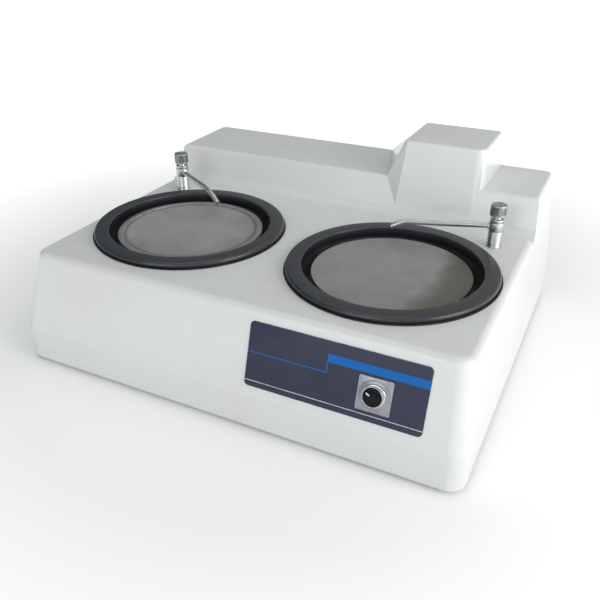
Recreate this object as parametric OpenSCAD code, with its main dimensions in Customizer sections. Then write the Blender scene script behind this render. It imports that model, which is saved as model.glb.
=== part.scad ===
// Two-disc metallographic grinding and polishing machine.
// Millimetres, +X to the operator's right, +Y to the back, +Z up.
// The origin is on the floor, at the middle of the footprint.

/* [Casing] */
// Distance from each splash ring out to the side of the base band
side_margin = 25.75; // [22:0.25:30]
// Distance from the splash rings to the front of the base band
front_margin = 65.2; // [62:0.2:70]
// Distance from the splash rings back to the foot of the ridge
back_margin = 50.8; // [48:0.2:56]
// Height of the casing's lower edge above the floor
ground_gap = 6; // [4:0.5:10]
// Height of the deck above the casing's lower edge
deck_rise = 167.5; // [165:0.5:180]
// Height of the upright base band
band_h = 52; // [45:1:60]
// How far the sloped front leans back from band to deck
front_run = 35.6; // [30:0.2:40]
// How far each side wall leans in from band to deck
side_run = 13; // [8:0.5:18]
// How far the rear wall leans in from band to deck
rear_run = 8.7; // [6:0.1:12]
// Radius of the casing's upright corners
corner_r = 24; // [20:1:30]
// Radius round the deck's edge
edge_r = 12; // [8:1:16]
// Radius of the ridge's corners at its top
ridge_corner_r = 14; // [12:1:20]
// Radius along the ridge's top edges
ridge_edge_r = 6; // [6:0.5:9]
// Wall of the moulding
wall = 5; // [4:0.5:6]
// Width of the inner lip that sits on the base frame
lip_w = 16; // [12:1:20]
// How far the water and drain fittings reach behind the casing
rear_reach = 26; // [22:1:32]

/* [Back ridge] */
// Height of the ridge above the deck
ridge_rise = 56.6; // [50:0.2:62]
// Distance from the ridge's front foot to the rear of the base band
ridge_d = 177; // [165:1:185]
// How far the ridge's front face leans back
ridge_run = 20; // [15:1:25]
// Radius of the hollow along the foot of the ridge
cove_r = 20; // [14:1:26]

/* [Motor tower] */
// Room above the motor's cowl inside the tower
tower_headroom = 10; // [6:0.5:20]
// How far the tower's top reaches past the motor's body at each side
tower_side = 12.5; // [11:0.5:18]
// How far the tower's top reaches past the motor's body at front and back
tower_end = 8.5; // [8:0.5:14]
// Distance from the tower's top rear edge to the rear of the base band
tower_back = 24.2; // [20:0.2:28]
// Draft of the tower's side and rear walls over the tower's height
tower_draft = 7; // [5:0.5:9]
// How far the tower's front leans back over the tower's height
tower_run = 24; // [20:1:28]
// Radius of the tower's upright corners
tower_corner_r = 7; // [6:0.5:9]
// Radius of the tower's corner next to the right tap
tower_round_r = 17; // [14:1:20]
// Radius round the tower's top
tower_edge_r = 4.5; // [4:0.5:6]
// How far the left flank flares out at the back, on top of the ridge
flare_back = 63; // [50:1:70]
// How far the left flank flares out at the front, on top of the ridge
flare_front = 23; // [15:1:28]

/* [Discs and rings] */
// Diameter of each working disc
disc_d = 230; // [220:1:240]
// Gap for water between each disc and its bowl
water_gap = 22.5; // [20:0.5:25]
// How far each splash ring reaches over the deck outside its bowl
ring_shelf = 15; // [14:0.5:18]
// Width of each splash ring
ring_w = 20.5; // [17:0.5:22]
// Distance between the two splash rings
ring_spacing = 38.5; // [30:0.5:60]
// Depth of the disc's top below the deck
disc_sink = 3.5; // [2:0.5:5]
// Thickness of the disc's plate
disc_t = 8; // [6:0.5:9]
// Height of the splash ring above the deck
ring_h = 9.5; // [8:0.5:12]
// Width of the band of the cloth's clamp ring
clamp_w = 9; // [6:0.5:12]
// Thickness of the polishing cloth
cloth_t = 1.2; // [0.8:0.1:2]
// How far the clamp ring presses the cloth's rim down
cloth_press = 0.4; // [0.3:0.1:0.6]
// Thickness of the abrasive sheet
sheet_t = 0.6; // [0.4:0.1:1]

/* [Bowls] */
// Depth of each bowl below the deck
bowl_depth = 52; // [48:1:54]
// Wall of each bowl
bowl_wall = 2.5; // [2:0.1:3]
// Height of the collar round the spindle
collar_h = 15; // [12:1:16]

/* [Spindles] */
// Diameter of the spindle shaft
shaft_d = 25; // [20:1:28]
// Outer diameter of the spindle bearings
bearing_d = 52; // [50:1:54]
// Width of the spindle bearings
bearing_w = 15; // [12:1:16]
// Length of each bearing housing
housing_h = 54; // [50:1:58]
// Wall of each bearing housing
housing_wall = 8; // [6:0.5:10]
// Diameter of the housing's flange
flange_d = 104; // [100:1:112]

/* [Drive] */
// Diameter of the spindle pulleys at the belt's pitch line
pulley_d = 160; // [150:1:164]
// Diameter of the motor pulley's step for the faster right disc
fast_step_d = 68.6; // [64:0.1:72]
// Diameter of the motor pulley's step for the slower left disc
slow_step_d = 51.4; // [50:0.1:56]
// Width across the back of the V-belt
belt_w = 10; // [8:0.5:11]
// Height of the V-belt
belt_h = 6; // [5:0.5:7]
// Flank angle of the V-belt, both sides together
belt_angle = 38; // [34:1:40]
// Height of the left belt's middle above the floor
belt_z = 27.5; // [26:0.5:30]
// Distance in height between the two belts
belt_step = 18; // [17:0.5:20]
// Diameter of the motor's body
motor_d = 110; // [100:1:112]
// Length of the motor's body
motor_h = 150; // [130:1:155]
// Diameter of the motor's mounting flange
motor_flange_d = 150; // [140:1:156]
// Diameter of the motor's shaft
motor_shaft_d = 19; // [16:1:22]

/* [Frame and feet] */
// Width of the base frame's angle
angle_w = 30; // [26:1:34]
// Thickness of the base frame's angle
angle_t = 3; // [2.5:0.5:4]
// Width of the two square rails
rail_w = 25; // [20:1:28]
// Distance from each rail's middle out to the side of the base band
rail_inset = 80; // [76:1:82]
// Height of the drive plate's underside above the floor
plate_z = 81.5; // [80:0.5:84]
// Thickness of the drive plate
plate_t = 5; // [4:0.5:6]
// Diameter of the plate's posts
post_d = 16; // [12:1:18]
// Diameter of the rubber feet
foot_d = 38; // [30:1:40]

/* [Taps] */
// Place of each tap outwards and back from its disc's axis, over the splash ring's diameter
tap_shares = [0.37, 0.475];
// Diameter of the tap's post
tap_d = 21; // [18:0.5:24]
// Height of the tap's spout above the deck
spout_z = 33; // [30:0.5:36]
// Height of the swivelling sleeve that carries the spout
sleeve_h = 14; // [10:1:16]
// Outer diameter of the spout
spout_d = 7; // [6:0.5:9]
// Bore of the spout
spout_bore = 5; // [4:0.5:5]
// Straight length of the left spout
left_spout_length = 91; // [60:1:100]
// Radius of the left spout's bend
left_bend_r = 110; // [80:5:130]
// Angle of the left spout's bend
left_bend_angle = 25; // [20:1:30]
// Straight length of the right spout
right_spout_length = 132; // [90:1:140]
// Radius of the right spout's bend
right_bend_r = 24; // [20:1:40]
// Angle of the right spout's bend
right_bend_angle = 24; // [20:1:38]
// Direction of the left spout seen from above
left_spout_angle = -32; // [-60:1:-10]
// Direction of the right spout seen from above
right_spout_angle = 199; // [190:1:225]
// Diameter of the tap's knob
knob_d = 24; // [22:0.5:26]
// Height of the tap's knob
knob_h = 18; // [14:1:22]

/* [Front panel] */
// Width of the nameplate
panel_w = 245; // [230:1:250]
// Height of the nameplate along the slope
panel_h = 89.6; // [80:0.2:94]
// Distance from the middle of the machine to the middle of the nameplate
panel_x = 170.2; // [165:0.2:175]
// Distance down the slope from the deck's edge to the middle of the nameplate
panel_s = 61.3; // [58:0.1:64]
// Thickness of the nameplate
panel_t = 1.2; // [0.8:0.1:1.5]
// Distance from the middle of the machine to the switch
switch_x = 227.2; // [215:0.2:240]
// Distance down the slope from the deck's edge to the switch
switch_s = 70; // [60:0.5:74]
// Side of the switch's square plate
switch_w = 45; // [40:0.5:48]
// Diameter of the switch's knob
switch_knob_d = 27; // [24:0.5:28]
// How far the switch's knob stands out of its square plate
switch_reach = 8.5; // [7.5:0.5:8.5]

/* [Water and drain] */
// Outer diameter of the drain pipes
drain_d = 26; // [24:1:28]
// Wall of the drain pipes
drain_wall = 4; // [3.5:0.25:5]
// How much thinner each drain's spigot is than its pipe, per side
spigot_step = 2; // [1.5:0.25:2]
// Length of each drain's spigot
spigot_l = 20; // [16:0.5:20]
// Distance from the middle to each drain pipe
drain_x = 80; // [76:1:84]
// Depth of the drain pipe's axis below the deck
drain_sink = 72; // [71:0.5:74]
// Outer diameter of the water hoses
hose_d = 10; // [8:0.5:12]
// Depth of the water hoses below the deck
hose_sink = 45; // [42:1:48]
// Outer diameter of the water inlet's nipple
inlet_d = 21; // [18:1:24]
// Length of the water inlet's nipple
nipple_l = 20; // [16:0.5:20]

/* [Hidden] */
$fn = 64;

// Overrun of cuts past the faces that they cut
over = 1;
// Free space between parts that move past each other
gap = 0.3;
// Radial play of a shaft in its own bore
play = 0.05;

bowl_d = disc_d+water_gap*2;
ring_d = bowl_d+ring_shelf*2;
ring_inner_d = ring_d-ring_w*2;
disc_pitch = ring_d+ring_spacing;
body_w = disc_pitch+ring_d+side_margin*2;
body_d = front_margin+ring_d+back_margin+ridge_d;
disc_front = front_margin+ring_d/2;

band_z = ground_gap+band_h;
deck_z = ground_gap+deck_rise;
batter_h = deck_z-band_z;
front_lean = atan2(front_run, batter_h);
side_lean = atan2(side_run, batter_h);
rear_lean = atan2(rear_run, batter_h);
ridge_lean = atan2(ridge_run, ridge_rise);

// Thickness of the switch's square plate, and the rounding of its knob
switch_plate_t = 2.5;
knob_edge_r = 3.5;
switch_lift = panel_t+switch_plate_t;

front_y = -(body_d+rear_reach)/2;
rear_y = front_y+body_d;
ridge_z = deck_z+ridge_rise;
disc_x = disc_pitch/2;
disc_y = front_y+disc_front;
tap_x = disc_x+tap_shares[0]*ring_d;
tap_back = tap_shares[1]*ring_d;
rail_x = body_w/2-rail_inset;

// The motor's height decides the tower's
motor_flange_t = 10;
cowl_h = 30;
motor_base_z = plate_z+plate_t;
motor_body_z = motor_base_z+motor_flange_t;
motor_top_z = motor_body_z+motor_h;
tower_z = motor_top_z+cowl_h+tower_headroom+wall;
tower_rise = tower_z-deck_z;
tower_w = motor_d+tower_side*2;
tower_d = motor_d+tower_end*2;
tower_x = disc_x;
tower_y = rear_y-tower_back-tower_d/2;
motor_x = tower_x;
motor_y = tower_y;
motor_back = motor_y-disc_y;
hull_fn = 32;
slab = 1;

// Places of the casing's four leaning walls at a height, inset by t
function left_wall(z, t = 0) = -body_w/2+side_run*(z-band_z)/batter_h+t/cos(side_lean);
function right_wall(z, t = 0) = -left_wall(z, t);
function front_wall(z, t = 0) = front_y+front_run*(z-band_z)/batter_h+t/cos(front_lean);
function rear_wall(z, t = 0) = rear_y-rear_run*(z-band_z)/batter_h-t/cos(rear_lean);
function arc_points(c, r, a0, a1, n = 8) =
  [for (i = [0:n]) c+r*[cos(a0+(a1-a0)*i/n), sin(a0+(a1-a0)*i/n)]];

module rounded_plan(x0, x1, y0, y1, r) {
  translate([x0+r, y0]) square([x1-x0-r*2, y1-y0]);
  translate([x0, y0+r]) square([x1-x0, y1-y0-r*2]);
  for (x = [x0+r, x1-r], y = [y0+r, y1-r]) translate([x, y]) circle(r);
}

module tube(r_out, r_in, h) {
  difference() {
    cylinder(r = r_out, h = h);
    translate([0, 0, -over]) cylinder(r = r_in, h = h+over*2);
  }
}

module hexagon(across, h) cylinder(r = across/2/cos(30), h = h, $fn = 6);

// A disc with a rolled rim, for the hull of a rounded top corner
module edge_roll(r, edge) rotate_extrude($fn = hull_fn) translate([r-edge, 0]) intersection() {
  circle(edge, $fn = hull_fn);
  translate([0, -edge]) square([edge, edge*2]);
}

// Casing

// The leaning body from the base band up to a height, all walls inset by t
module leaning_block(top_z, t, edge, top_r) {
  roll_z = top_z-t-edge;
  foot_r = corner_r-t;
  r = top_r-t;
  hull() {
    for (x = [left_wall(band_z, t)+foot_r, right_wall(band_z, t)-foot_r],
         y = [front_wall(band_z, t)+foot_r, rear_wall(band_z, t)-foot_r])
      translate([x, y, band_z-slab]) cylinder(r = foot_r, h = slab, $fn = hull_fn);
    for (x = [left_wall(roll_z, t+edge)+r-edge, right_wall(roll_z, t+edge)-r+edge],
         y = [front_wall(roll_z, t+edge)+r-edge, rear_wall(roll_z, t+edge)-r+edge])
      translate([x, y, roll_z]) edge_roll(r, edge);
  }
}

// Side view of the ridge: a hollow at its foot, a leaning face and a rounded shoulder
module ridge_profile(t, hollow_r, shoulder_r) {
  foot = [rear_y-ridge_d+t/cos(ridge_lean), deck_z-t];
  top = [foot[0]+ridge_run, ridge_z-t];
  turn = 90-ridge_lean;
  hollow_reach = hollow_r*tan(turn/2);
  shoulder_reach = shoulder_r*tan(turn/2);
  polygon(concat(
    [[foot[0]-hollow_reach, band_z]],
    arc_points([foot[0]-hollow_reach, foot[1]+hollow_r], hollow_r, -90, -90+turn),
    arc_points([top[0]+shoulder_reach, top[1]-shoulder_r], shoulder_r, 90+turn, 90),
    [[rear_y, top[1]], [rear_y, band_z]]));
}

module ridge(t, hollow_r, shoulder_r, edge) {
  intersection() {
    translate([-body_w/2, 0, 0]) rotate([90, 0, 90]) linear_extrude(body_w)
      ridge_profile(t, hollow_r, shoulder_r);
    leaning_block(ridge_z, t, edge, ridge_corner_r);
  }
}

// The corners of the tower: side, end and radius
tower_corners = [[-1, -1, tower_corner_r], [1, -1, tower_round_r], [-1, 1, tower_corner_r],
  [1, 1, tower_corner_r]];
function inner(r, t) = max(r-t, over);
function tower_foot_y(end) = tower_y+end*tower_d/2+(end < 0 ? -tower_run : tower_draft);

module tower_top(t) for (c = tower_corners) {
  r = inner(c[2], t);
  translate([tower_x+c[0]*(tower_w/2-t-r), tower_y+c[1]*(tower_d/2-t-r), tower_z-t])
    if (t == 0) translate([0, 0, -tower_edge_r]) edge_roll(r, tower_edge_r);
    else translate([0, 0, -slab]) cylinder(r = r, h = slab, $fn = hull_fn);
}

// The tower: drafted walls, and a left flank that flares out over the ridge
module tower(t) {
  foot_w = tower_w/2+tower_draft-t;
  flank_x = tower_x-tower_w/2+t*2;
  hull() {
    tower_top(t);
    for (c = tower_corners) if (c[0] > 0 || c[1] < 0)
      translate([tower_x+c[0]*(foot_w-inner(c[2], t)), tower_foot_y(c[1])-c[1]*(t+inner(c[2], t)),
        deck_z-t-slab]) cylinder(r = inner(c[2], t), h = slab, $fn = hull_fn);
    translate([flank_x-flare_back, tower_foot_y(1)-t-slab, ridge_z-t-slab]) cube(slab);
    translate([flank_x-flare_front, rear_y-ridge_d+ridge_run+t*2, ridge_z-t-slab]) cube(slab);
  }
}

bowl_r = bowl_d/2;
well_r = bowl_r+bowl_wall+gap;
lip_t = wall;
lip_z = ground_gap+angle_t;

// Places of the screws along the base frame, as shares of the casing's width and depth
screw_shares = [[-0.4, 0.5], [0, 0.5], [0.4, 0.5], [-0.4, -0.5], [0, -0.5], [0.4, -0.5],
  [-0.5, 0], [0.5, 0]];
screw_inset = wall+lip_w/2;
module at_casing_screws() {
  for (s = screw_shares)
    translate([s[0]*(body_w-(abs(s[0]) == 0.5 ? screw_inset*2 : 0)),
      (front_y+rear_y)/2+s[1]*(body_d-(abs(s[1]) == 0.5 ? screw_inset*2 : 0)), 0]) children();
}

screw_d = 6;
screw_head_d = 10;
screw_head_h = 4;

// The sloped front face: x across, y up the slope, z out of it
module on_front(x, s) {
  translate([x, front_wall(deck_z)-s*sin(front_lean), deck_z-s*cos(front_lean)])
    rotate([90-front_lean, 0, 0]) children();
}

switch_neck_d = 14;
tap_tail_d = 12;
gland_d = 16;
gland_x = -drain_x*2;
gland_z = band_z;
drain_z = deck_z-drain_sink;
hose_z = deck_z-hose_sink;
hose_y = rear_wall(hose_z, wall)-hose_d;
inlet_z = hose_z;
inlet_thread_d = inlet_d-over*2;
vent_w = 70;
vent_h = 5;
vent_count = 7;
vent_pitch = 11;

module rear_bore(x, z, d) translate([x, rear_y+over, z]) rotate([90, 0, 0])
  cylinder(d = d, h = wall*4+over*2);

module vent_slot(z) translate([tower_x, rear_y+over, z]) rotate([90, 0, 0]) linear_extrude(wall*12) {
  square([vent_w-vent_h, vent_h], center = true);
  for (sx = [-1, 1]) translate([sx*(vent_w-vent_h)/2, 0]) circle(d = vent_h);
}

module casing() color([0.86, 0.87, 0.86]) difference() {
  union() {
    translate([0, 0, ground_gap]) linear_extrude(band_h)
      rounded_plan(-body_w/2, body_w/2, front_y, rear_y, corner_r);
    leaning_block(deck_z, 0, edge_r, corner_r);
    ridge(0, cove_r, ridge_edge_r, ridge_edge_r);
    tower(0);
  }
  translate([0, 0, lip_z+lip_t]) linear_extrude(band_z-lip_z-lip_t)
    rounded_plan(-body_w/2+wall, body_w/2-wall, front_y+wall, rear_y-wall, corner_r-wall);
  translate([0, 0, ground_gap-over]) linear_extrude(lip_z-ground_gap+over)
    rounded_plan(-body_w/2+wall, body_w/2-wall, front_y+wall, rear_y-wall, corner_r-wall);
  translate([0, 0, lip_z-over]) linear_extrude(lip_t+over*2)
    rounded_plan(-body_w/2+wall+lip_w, body_w/2-wall-lip_w, front_y+wall+lip_w,
      rear_y-wall-lip_w, corner_r/2);
  leaning_block(deck_z, wall, edge_r-wall, corner_r);
  ridge(wall, wall, wall, ridge_edge_r-wall);
  tower(wall);
  for (sx = [-1, 1]) {
    translate([sx*disc_x, disc_y, deck_z-edge_r*2]) cylinder(r = well_r, h = edge_r*3, $fn = 96);
    translate([sx*tap_x, disc_y+tap_back, deck_z-edge_r]) cylinder(d = tap_tail_d+over, h = edge_r*2);
    rear_bore(sx*drain_x, drain_z, drain_d+over);
  }
  rear_bore(0, inlet_z, inlet_thread_d+over);
  rear_bore(gland_x, gland_z, gland_d+over);
  on_front(switch_x, switch_s) translate([0, 0, -wall*2])
    cylinder(d = switch_neck_d+over*2, h = wall*3);
  for (i = [0:vent_count-1]) vent_slot(ridge_z-vent_pitch*(i-1));
  at_casing_screws() translate([0, 0, lip_z-over]) cylinder(d = screw_d+over/2, h = lip_t+over*2);
}

// Base frame and feet

frame_inset = wall+over;
foot_plate_w = 60;
foot_x = body_w/2-frame_inset-angle_w-foot_d/2-over;
foot_front_y = front_y+frame_inset+angle_w+foot_plate_w/2;
foot_rear_y = rear_y-frame_inset-angle_w-foot_plate_w/2;
stud_d = 8;
rail_z = ground_gap+angle_t;
rail_wall = 2;
rail_y0 = front_y+frame_inset+angle_w;
rail_y1 = rear_y-frame_inset-angle_w;

module frame_plan(inset) rounded_plan(-body_w/2+inset, body_w/2-inset, front_y+inset,
  rear_y-inset, corner_r-wall);

module base_frame() color([0.20, 0.21, 0.23]) difference() {
  union() {
    translate([0, 0, ground_gap]) linear_extrude(angle_t) difference() {
      frame_plan(frame_inset);
      frame_plan(frame_inset+angle_w);
    }
    translate([0, 0, ground_gap]) linear_extrude(angle_w) difference() {
      frame_plan(frame_inset+angle_w-angle_t);
      frame_plan(frame_inset+angle_w);
    }
    for (sx = [-1, 1], y = [foot_front_y, foot_rear_y])
      translate([sx*foot_x-foot_plate_w/2, y-foot_plate_w/2-over, ground_gap])
        cube([foot_plate_w, foot_plate_w+over*2, angle_t]);
    for (sx = [-1, 1]) translate([sx*rail_x, rail_y0-angle_t/2, rail_z+rail_w/2]) rotate([-90, 0, 0])
      linear_extrude(rail_y1-rail_y0+angle_t) difference() {
        square(rail_w, center = true);
        square(rail_w-rail_wall*2, center = true);
      }
  }
  at_casing_screws() translate([0, 0, ground_gap-over])
    cylinder(d = screw_d+over/2, h = angle_t+over*2);
  for (sx = [-1, 1], y = [foot_front_y, foot_rear_y])
    translate([sx*foot_x, y, ground_gap-over]) cylinder(d = stud_d+over/2, h = angle_t+over*2);
}

// A rubber pad with a hollow underside, bonded to a steel stud with its nut
module foot(sx, y) translate([sx*foot_x, y, 0]) {
  color([0.08, 0.08, 0.08]) rotate_extrude() polygon([[0, over], [foot_d/4, over], [foot_d/4+over, 0],
    [foot_d/2-over, 0], [foot_d/2, over], [foot_d/2-over*2, ground_gap], [0, ground_gap]]);
  color([0.7, 0.7, 0.7]) translate([0, 0, ground_gap]) cylinder(d = stud_d, h = angle_t+stud_d*1.5);
  color([0.7, 0.7, 0.7]) translate([0, 0, ground_gap+angle_t]) hexagon(stud_d*1.6, stud_d*0.8);
}
module foot_front_left() foot(-1, foot_front_y);
module foot_front_right() foot(1, foot_front_y);
module foot_rear_left() foot(-1, foot_rear_y);
module foot_rear_right() foot(1, foot_rear_y);

module casing_screws() color([0.75, 0.75, 0.75]) at_casing_screws() {
  translate([0, 0, ground_gap-screw_head_h]) hexagon(screw_head_d, screw_head_h);
  translate([0, 0, ground_gap-slab]) cylinder(d = screw_d, h = angle_t+lip_t+screw_d+slab);
  translate([0, 0, lip_z+lip_t]) hexagon(screw_head_d, screw_d-over);
}

// Drive plate on its posts

plate_edge = 15;
plate_lip = 18;
housing_r = bearing_d/2+housing_wall;
// Places of the posts: side of the machine, then the share of the distance back to the motor
post_shares = [[-1, -0.14], [-1, 0.35], [1, -0.14], [1, 0.35], [1, 1.1]];
pilot_r = motor_flange_d/2*0.55;
housing_bolt_r = (flange_d/2+housing_r)/2;
motor_bolt_r = motor_flange_d/2*0.87;
bolt_d = 6;

module at_posts() for (s = post_shares) translate([s[0]*rail_x, disc_y+s[1]*motor_back, 0]) children();
module around(count, r, turn = 0) for (i = [0:count-1])
  rotate([0, 0, turn+i*360/count]) translate([r, 0, 0]) children();
module at_housing_bolts() for (sx = [-1, 1]) translate([sx*disc_x, disc_y, 0])
  around(4, housing_bolt_r, 45) children();
module at_motor_bolts() translate([motor_x, motor_y, 0]) around(4, motor_bolt_r, 45) children();

plate_x = rail_x+plate_edge;
plate_front = disc_y+post_shares[0][1]*motor_back-plate_edge;
plate_back = motor_y+motor_flange_d/2*0.87;
plate_left_back = disc_y+post_shares[1][1]*motor_back+plate_edge;
plate_notch_x = motor_x-motor_flange_d/2;

module drive_plate() color([0.62, 0.64, 0.66]) difference() {
  union() {
    translate([0, 0, plate_z]) linear_extrude(plate_t) polygon([[-plate_x, plate_front],
      [plate_x, plate_front], [plate_x, plate_back], [plate_notch_x, plate_back],
      [-plate_x, plate_left_back]]);
    translate([-plate_x, plate_front, plate_z-plate_lip]) cube([plate_x*2, plate_t, plate_lip+slab]);
  }
  for (sx = [-1, 1]) translate([sx*disc_x, disc_y, plate_z-over])
    cylinder(r = housing_r+gap, h = plate_t+over*2);
  translate([motor_x, motor_y, plate_z-over]) cylinder(r = pilot_r+gap, h = plate_t+over*2);
  at_posts() translate([0, 0, plate_z-over]) cylinder(d = screw_d+over/2, h = plate_t+over*2);
  at_housing_bolts() translate([0, 0, plate_z-over]) cylinder(d = bolt_d+over/2, h = plate_t+over*2);
  at_motor_bolts() translate([0, 0, plate_z-over]) cylinder(d = bolt_d+over/2, h = plate_t+over*2);
}

module plate_posts() color([0.7, 0.7, 0.7]) at_posts() {
  translate([0, 0, rail_z+rail_w]) cylinder(d = post_d, h = plate_z-rail_z-rail_w);
  translate([0, 0, plate_z-slab]) cylinder(d = screw_d, h = plate_t+slab*2);
  translate([0, 0, plate_z+plate_t]) hexagon(screw_head_d, screw_head_h);
}

housing_flange_t = 10;
module drive_screws() color([0.72, 0.72, 0.72]) {
  at_housing_bolts() {
    translate([0, 0, plate_z-bolt_d]) cylinder(d = bolt_d, h = bolt_d+plate_t+housing_flange_t+slab);
    translate([0, 0, plate_z+plate_t+housing_flange_t]) hexagon(screw_head_d, screw_head_h);
    translate([0, 0, plate_z-bolt_d+over]) hexagon(screw_head_d, bolt_d-over);
  }
  at_motor_bolts() {
    translate([0, 0, plate_z-bolt_d]) cylinder(d = bolt_d, h = bolt_d+plate_t+motor_flange_t+slab);
    translate([0, 0, plate_z+plate_t+motor_flange_t]) hexagon(screw_head_d, screw_head_h);
    translate([0, 0, plate_z-bolt_d+over]) hexagon(screw_head_d, bolt_d-over);
  }
}

// Front panel and rotary switch

panel_corner_r = 6;
bezel_t = 2.5;
escutcheon_d = 40;
bezel_d = 31;
switch_body_w = 40;
switch_body_h = 38;
switch_shaft_d = 6;

module nameplate() color([0.29, 0.31, 0.40]) on_front(panel_x, panel_s) difference() {
  linear_extrude(panel_t) rounded_plan(-panel_w/2, panel_w/2, -panel_h/2, panel_h/2, panel_corner_r);
  translate([switch_x-panel_x, panel_s-switch_s, -over])
    cylinder(d = switch_neck_d+over*2, h = panel_t+over*2);
}

module switch_plate() color([0.75, 0.76, 0.77]) on_front(switch_x, switch_s) difference() {
  translate([0, 0, panel_t]) union() {
    linear_extrude(switch_plate_t-over)
      rounded_plan(-switch_w/2, switch_w/2, -switch_w/2, switch_w/2, over*2);
    cylinder(d = escutcheon_d, h = switch_plate_t);
  }
  cylinder(d = switch_neck_d, h = switch_lift+over);
}

module switch_bezel() color([0.8, 0.8, 0.82]) on_front(switch_x, switch_s) translate([0, 0, switch_lift])
  rotate_extrude() polygon(concat([[switch_neck_d/2, 0], [bezel_d/2, 0]],
    arc_points([bezel_d/2-bezel_t*0.6, bezel_t*0.4], bezel_t*0.6, 0, 90, 6),
    [[switch_neck_d/2, bezel_t]]));

knob_base = bezel_t+gap;
module switch_knob() color([0.06, 0.06, 0.07]) on_front(switch_x, switch_s) {
  translate([0, 0, switch_lift+knob_base]) rotate_extrude() polygon(concat([[0, 0],
    [switch_knob_d/2-over, 0], [switch_knob_d/2, over]],
    arc_points([switch_knob_d/2-knob_edge_r, switch_reach-knob_base-knob_edge_r], knob_edge_r, 0, 90, 6),
    [[0, switch_reach-knob_base]]));
  translate([0, 0, -wall]) cylinder(d = switch_shaft_d, h = wall+switch_lift+knob_base+over);
}

module switch_body() color([0.12, 0.12, 0.13]) on_front(switch_x, switch_s) difference() {
  union() {
    translate([-switch_body_w/2, -switch_body_w/2, -wall-switch_body_h-gap])
      cube([switch_body_w, switch_body_w, switch_body_h]);
    translate([0, 0, -wall-gap-slab]) cylinder(d = switch_neck_d-gap, h = wall+gap+slab+switch_lift);
  }
  translate([0, 0, -wall*2]) cylinder(d = switch_shaft_d+play*2, h = wall*4);
}

// Bowls and splash rings

ring_r = ring_d/2;
ring_inner_r = ring_inner_d/2;
ring_skirt = 4;
bowl_flange_r = ring_r-ring_skirt-over;
bowl_flange_t = 3;
bowl_floor_z = deck_z-bowl_depth;
collar_r = 24;
collar_wall = 3;
drain_from_disc = disc_x-drain_x;
drain_bore_y = sqrt(pow(bowl_r-drain_d, 2)-pow(drain_from_disc, 2));
drain_bore_d = drain_d-drain_wall*2;
floor_fall = 3;

module bowl(sx) color([0.10, 0.10, 0.11]) translate([sx*disc_x, disc_y, 0]) difference() {
  union() {
    translate([0, 0, bowl_floor_z]) rotate_extrude($fn = 96) polygon(concat([
      [collar_r, -bowl_wall], [bowl_r-edge_r, -bowl_wall]],
      arc_points([bowl_r-edge_r, edge_r-bowl_wall+bowl_wall], edge_r+bowl_wall, -90, 0),
      [[bowl_r+bowl_wall, bowl_depth], [bowl_flange_r, bowl_depth],
      [bowl_flange_r, bowl_depth+bowl_flange_t], [bowl_r, bowl_depth+bowl_flange_t]],
      arc_points([bowl_r-edge_r, edge_r], edge_r, 0, -90),
      [[collar_r+collar_wall+over, floor_fall], [collar_r+collar_wall, collar_h], [collar_r, collar_h]]));
    translate([-sx*drain_from_disc, drain_bore_y, bowl_floor_z-bowl_wall])
      cylinder(d = drain_d, h = bowl_wall);
  }
  translate([-sx*drain_from_disc, drain_bore_y, bowl_floor_z-bowl_wall-over])
    cylinder(d = drain_bore_d, h = bowl_wall+floor_fall+over*3);
}
module left_bowl() bowl(-1);
module right_bowl() bowl(1);

ring_lip = 3;
ring_drop = 6;
module splash_ring(sx) color([0.23, 0.24, 0.26]) translate([sx*disc_x, disc_y, deck_z])
  rotate_extrude($fn = 96) polygon(concat(
    [[ring_inner_r, -ring_drop], [ring_inner_r+ring_lip, -ring_drop],
    [ring_inner_r+ring_lip, bowl_flange_t], [ring_r-ring_skirt, bowl_flange_t],
    [ring_r-ring_skirt, gap]],
    arc_points([ring_r-ring_skirt, ring_skirt+gap], ring_skirt, -60, 90, 10),
    [[ring_inner_r+ring_lip*2, ring_h], [ring_inner_r+over, ring_h], [ring_inner_r, ring_h-over]]));
module left_splash_ring() splash_ring(-1);
module right_splash_ring() splash_ring(1);

// Discs and what they carry

disc_r = disc_d/2;
shaft_r = shaft_d/2;
disc_top = deck_z-disc_sink;
hub_r = 24;
hub_h = 13;
rib_t = 5;
disc_rim = 6;
disc_rim_h = 5;
pin_d = 5;
pin_r = 17;
disc_under = disc_top-disc_t;
hub_z = disc_under-hub_h;
seat_t = 5;
slinger_t = 3;
slinger_gap = 4;
slinger_r = collar_r+collar_wall+slinger_gap;
slinger_drop = 9;

module disc(sx) color([0.55, 0.56, 0.57]) translate([sx*disc_x, disc_y, 0]) difference() {
  union() {
    translate([0, 0, disc_under]) rotate_extrude($fn = 96) polygon([[0, 0], [disc_r-over, 0],
      [disc_r, over], [disc_r, disc_t-over], [disc_r-over, disc_t], [0, disc_t]]);
    translate([0, 0, disc_under-disc_rim_h]) tube(disc_r-disc_rim, disc_r-disc_rim*2, disc_rim_h+slab);
    translate([0, 0, hub_z]) cylinder(r = hub_r, h = hub_h+slab);
    for (i = [0:5]) rotate([0, 0, i*60]) translate([hub_r-over, -rib_t/2, disc_under-disc_rim_h])
      cube([disc_r-disc_rim*1.5-hub_r+over, rib_t, disc_rim_h+slab]);
  }
  translate([0, 0, hub_z-over]) cylinder(r = shaft_r, h = hub_h+over);
  around(2, pin_r) translate([0, 0, hub_z-over]) cylinder(d = pin_d, h = pin_d+over);
}
module left_disc() disc(-1);
module right_disc() disc(1);

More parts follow.
